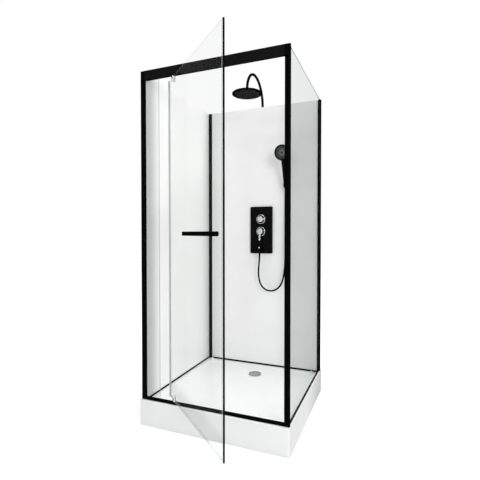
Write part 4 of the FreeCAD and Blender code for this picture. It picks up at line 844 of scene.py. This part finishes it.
handle_height = 1.122
leaf_front, leaf_back, washer_height = -0.434, -0.426, 0.001
bar_place = door_turn @ Matrix.Translation((0.1965, -0.452, handle_height))
add("handle_bar", block((0.436, 0.008, 0.021), 0.0022, 4), "door", ["door_handle"], black_coat,
    bar_place)
post_outline = [
    (0, 0.0), (8, 0.0), (8, 3.2), (7.3, 3.8), (7.3, 10.2), (8, 10.8), (8, 14.0), (0, 14.0)]
washer_outline = [(3.2, 0), (7.9, 0), (8, 0.5), (7.9, 1.0), (3.2, 1.0), (3.2, 0)]
handle_cap_outline = [
    (0, 0.0), (10, 0.0), (10, 2.9), (9.0, 4.0), (4.2, 4.0), (4.2, 2.2), (0, 2.2)]
posts, washers, caps = [], [], []
for x in (0.0405, 0.3525):
    posts.append((revolved(post_outline, 0.4, 48),
                  door_turn @ facing((x, leaf_front, handle_height), room)))
    for y in (leaf_front + washer_height, leaf_back):
        washers.append((revolved(washer_outline, 0.0, 48),
                        door_turn @ facing((x, y, handle_height), room)))
    caps.append((revolved(handle_cap_outline, 0.7, 56),
                 door_turn @ facing((x, leaf_back, handle_height), into)))
add("handle_posts", merged(posts), "door", ["handle_stand_offs"], black_coat)
add("handle_pads", merged(washers), "door", ["handle_washers"], seal_rim)
add("handle_cap_forms", merged(caps), "door", ["handle_caps"], black_coat)

# Drain cover

drain_outline = [
    (0, 100.5), (3, 100.5), (3, 109.5), (5, 109.5), (5, 114.5), (43.6, 114.5), (45, 115.4),
    (44.6, 117.0), (41.5, 118.3), (30, 118.5), (0, 118.1)]
add("drain_disc", revolved(drain_outline, 0.8, 96), "drain_cap", ["drain_cover"], painted_dark_drain_chrome,
    Matrix.Translation((service, drain_depth, 0)))


# Feet, nuts, screws and threads

def islands(node):
    """The bounds of each loose body of a node."""
    bm = welded(node)
    seen = set()
    found = []
    for first in bm.verts:
        if first in seen:
            continue
        seen.add(first)
        waiting = [first]
        points = []
        while waiting:
            vertex = waiting.pop()
            points.append(vertex.co.copy())
            for edge in vertex.link_edges:
                other = edge.other_vert(vertex)
                if other not in seen:
                    seen.add(other)
                    waiting.append(other)
        low = Vector([min(point[axis] for point in points) for axis in range(3)])
        high = Vector([max(point[axis] for point in points) for axis in range(3)])
        found.append((low, high))
    bm.free()
    return found


def threaded(radius, depth, pitch, low, high, segments=24):
    """A screw thread about Z in millimetres that runs out at both ends."""
    bm = bmesh.new()
    rows = round((high - low) / pitch * 4)
    rings = []
    for row in range(rows + 1):
        z = low + (high - low) * row / rows
        ends = max(0.0, min(1.0, (z - low) / pitch, (high - z) / pitch))
        ring = []
        for k in range(segments):
            ridge = abs(2 * ((z / pitch - k / segments) % 1.0) - 1)
            r = (radius - depth * (1 - ridge * ends)) / PER_METRE
            ring.append(bm.verts.new(round_point(r, 2 * math.pi * k / segments, z / PER_METRE)))
        rings.append(ring)
    return skinned(bm, rings)


def hex_nut(width, bore, low, high, segments=72):
    """A hexagon nut about Z in millimetres, its corners turned down at both faces."""
    turned_share, turned_slope = 0.49, 0.577
    bm = bmesh.new()
    rings = []
    for level in range(6):
        ring = []
        for k in range(segments):
            angle = 2 * math.pi * k / segments
            flat = width / 2 / math.cos((angle % (math.pi / 3)) - math.pi / 6)
            turned_down = min(flat, width * turned_share)
            drop = max(0.0, flat - turned_down) * turned_slope
            r, z = ((bore, low), (turned_down, low), (flat, low + drop), (flat, high - drop),
                    (turned_down, high), (bore, high))[level]
            ring.append(bm.verts.new(round_point(r / PER_METRE, angle, z / PER_METRE)))
        rings.append(ring)
    return skinned(bm, rings + rings[:1], capped=False)


def cross_slot(x, y):
    """Whether a point in millimetres lies in a cross recess."""
    return min(abs(x), abs(y)) < 0.45 and max(abs(x), abs(y)) < 2.1


def hexagon_socket(x, y):
    """Whether a point in millimetres lies in a hexagon recess."""
    return max(abs(x), abs(x) * 0.5 + abs(y) * 0.866) < 1.5


def headed_screw(radius, height, dome, shank, length, recess, depth):
    """A screw along Z in millimetres; its head stands on the plane Z = 0 and holds the driver's
    recess."""
    outline = [(0.0, -length), (shank * 0.8, -length), (shank, 0.5 - length), (shank, 0.0),
               (radius, 0.0), (radius, height - dome)]
    for k in range(1, 17):
        share = 1 - k / 16
        outline.append((radius * share, height - dome + dome * math.sqrt(1 - share * share)))
    bm = turned([(a / PER_METRE, b / PER_METRE) for a, b in outline], 64)
    for vertex in bm.verts:
        x, y, z = vertex.co * PER_METRE
        if z > 0.01 and math.hypot(x, y) < radius * 0.95 and recess(x, y):
            vertex.co.z -= depth / PER_METRE
    return bm


foot_outline = [
    (0, 0), (24, 0), (25, 1), (25, 7.2), (24.2, 8), (19, 8), (11, 14), (4.4, 14), (4.4, 61),
    (4.4, 102), (0, 102)]
pads, lock_nuts = [], []
for x, y in ((0, 0), (-foot_reach, -foot_reach), (-foot_reach, foot_reach),
             (foot_reach, -foot_reach), (foot_reach, foot_reach)):
    foot = Matrix.Translation((x, y, 0))
    pads.append((revolved(foot_outline, 0.5, 56), foot))
    pads.append((threaded(5, 0.6, 1.5, 15, 101), foot))
    lock_nuts.append((hex_nut(17, 5.02, 53.05, 60.95), foot))
add("foot_pads", merged(pads), "root", ["tray_feet"], grey_plastic)
add("foot_nuts", merged(lock_nuts), "root", ["foot_lock_nuts"], steel, sharp=20.0)

pan_height, socket_seat = 0.0016, -0.421
pans = []
for low, high in islands("pan_head_screws"):
    seat = ((low.x + high.x) / 2, high.y - pan_height, (low.z + high.z) / 2)
    pans.append((headed_screw(4, 1.6, 0.8, 1.98, 9, cross_slot, 0.9), facing(seat, into)))
add("pan_screws", merged(pans), "root", ["pan_head_screws"], steel, sharp=40.0)
sockets = []
for low, high in islands("clamp_screws"):
    seat = door_turn @ facing((pivot.x, socket_seat, (low.z + high.z) / 2), into)
    sockets.append((headed_screw(4.5, 2.0, 0.0, 2.48, 16.5, hexagon_socket, 1.5), seat))
add("socket_screws", merged(sockets), "door", ["clamp_screws"], steel, sharp=40.0)

# Shower hose

hose_route = [
    (0.007, 0.370, 0.974),
    (0.006, 0.370, 0.925),
    (-0.001, 0.370, 0.872),
    (-0.002, 0.371, 0.805),
    (0.015, 0.372, 0.740),
    (0.052, 0.373, 0.706),
    (0.099, 0.374, 0.699),
    (0.144, 0.376, 0.717),
    (0.174, 0.380, 0.759),
    (0.189, 0.385, 0.822),
    (0.196, 0.390, 0.910),
    (0.195, 0.396, 1.030),
    (0.194, 0.401, 1.160),
    (0.195, 0.405, 1.290),
    tuple(hand_foot - hand_axis * 0.055),
    tuple(hand_foot),
]
hose = spline_object("hose", hose_route, 0.006, "root", ["shower_hose"], black_coat)


# Stage and light

def background_share(tree):
    """1 where sight, a mirror or clear glass looks at the surroundings."""
    path = tree.nodes.new("ShaderNodeLightPath")
    direct = worked_out(tree, "MAXIMUM", path.outputs["Is Camera Ray"],
                        path.outputs["Is Glossy Ray"])
    return worked_out(tree, "MAXIMUM", direct, path.outputs["Is Transmission Ray"])


def background(tree, strength):
    """White surroundings of the given strength."""
    node = tree.nodes.new("ShaderNodeBackground")
    node.inputs["Color"].default_value = WHITE
    node.inputs["Strength"].default_value = strength
    return node


surroundings_light, surroundings_seen, floor_lift = 0.62, 1.0, 0.48
world = bpy.data.worlds.new("world")
scene.world = world
world.use_nodes = True
world_tree = world.node_tree
world_tree.nodes.clear()
sky = mixed(world_tree, background_share(world_tree),
            background(world_tree, surroundings_light), background(world_tree, surroundings_seen))
world_output = world_tree.nodes.new("ShaderNodeOutputWorld")
world_tree.links.new(sky.outputs[0], world_output.inputs["Surface"])

floor_bm = bmesh.new()
bmesh.ops.create_grid(floor_bm, x_segments=2, y_segments=2, size=7.0)
floor_mesh = bpy.data.meshes.new("floor")
floor_bm.to_mesh(floor_mesh)
floor_bm.free()
floor = bpy.data.objects.new("floor", floor_mesh)
scene.collection.objects.link(floor)
floor_material, floor_tree, floor_shader = new_material("floor")
floor_shader.inputs["Roughness"].default_value = 0.9
floor_shader.inputs["Emission Color"].default_value = WHITE
floor_tint = tinted(floor_tree, noise(floor_tree, 3.0), (0.79, 0.79, 0.79), (0.81, 0.81, 0.81))
floor_tree.links.new(floor_tint, floor_shader.inputs["Base Color"])
floor_tree.links.new(worked_out(floor_tree, "MULTIPLY", background_share(floor_tree), floor_lift),
                     floor_shader.inputs["Emission Strength"])
floor_mesh.materials.append(floor_material)


def area_lamp(name, place, target, size, power):
    """A square soft lamp that looks at its target."""
    data = bpy.data.lights.new(name, "AREA")
    data.shape = "RECTANGLE"
    data.size = size
    data.size_y = size
    data.energy = power
    lamp = bpy.data.objects.new(name, data)
    lamp.location = place
    lamp.rotation_euler = (Vector(target) - Vector(place)).to_track_quat("-Z", "Y").to_euler()
    scene.collection.objects.link(lamp)


area_lamp("key_lamp", (3.6, -4.1, 2.4), (0.0, 0.0, 1.0), 1.6, 92.0)
area_lamp("top_lamp", (1.2, 0.40, 6.0), (-0.1, 0.2, 0.5), 2.8, 155.0)
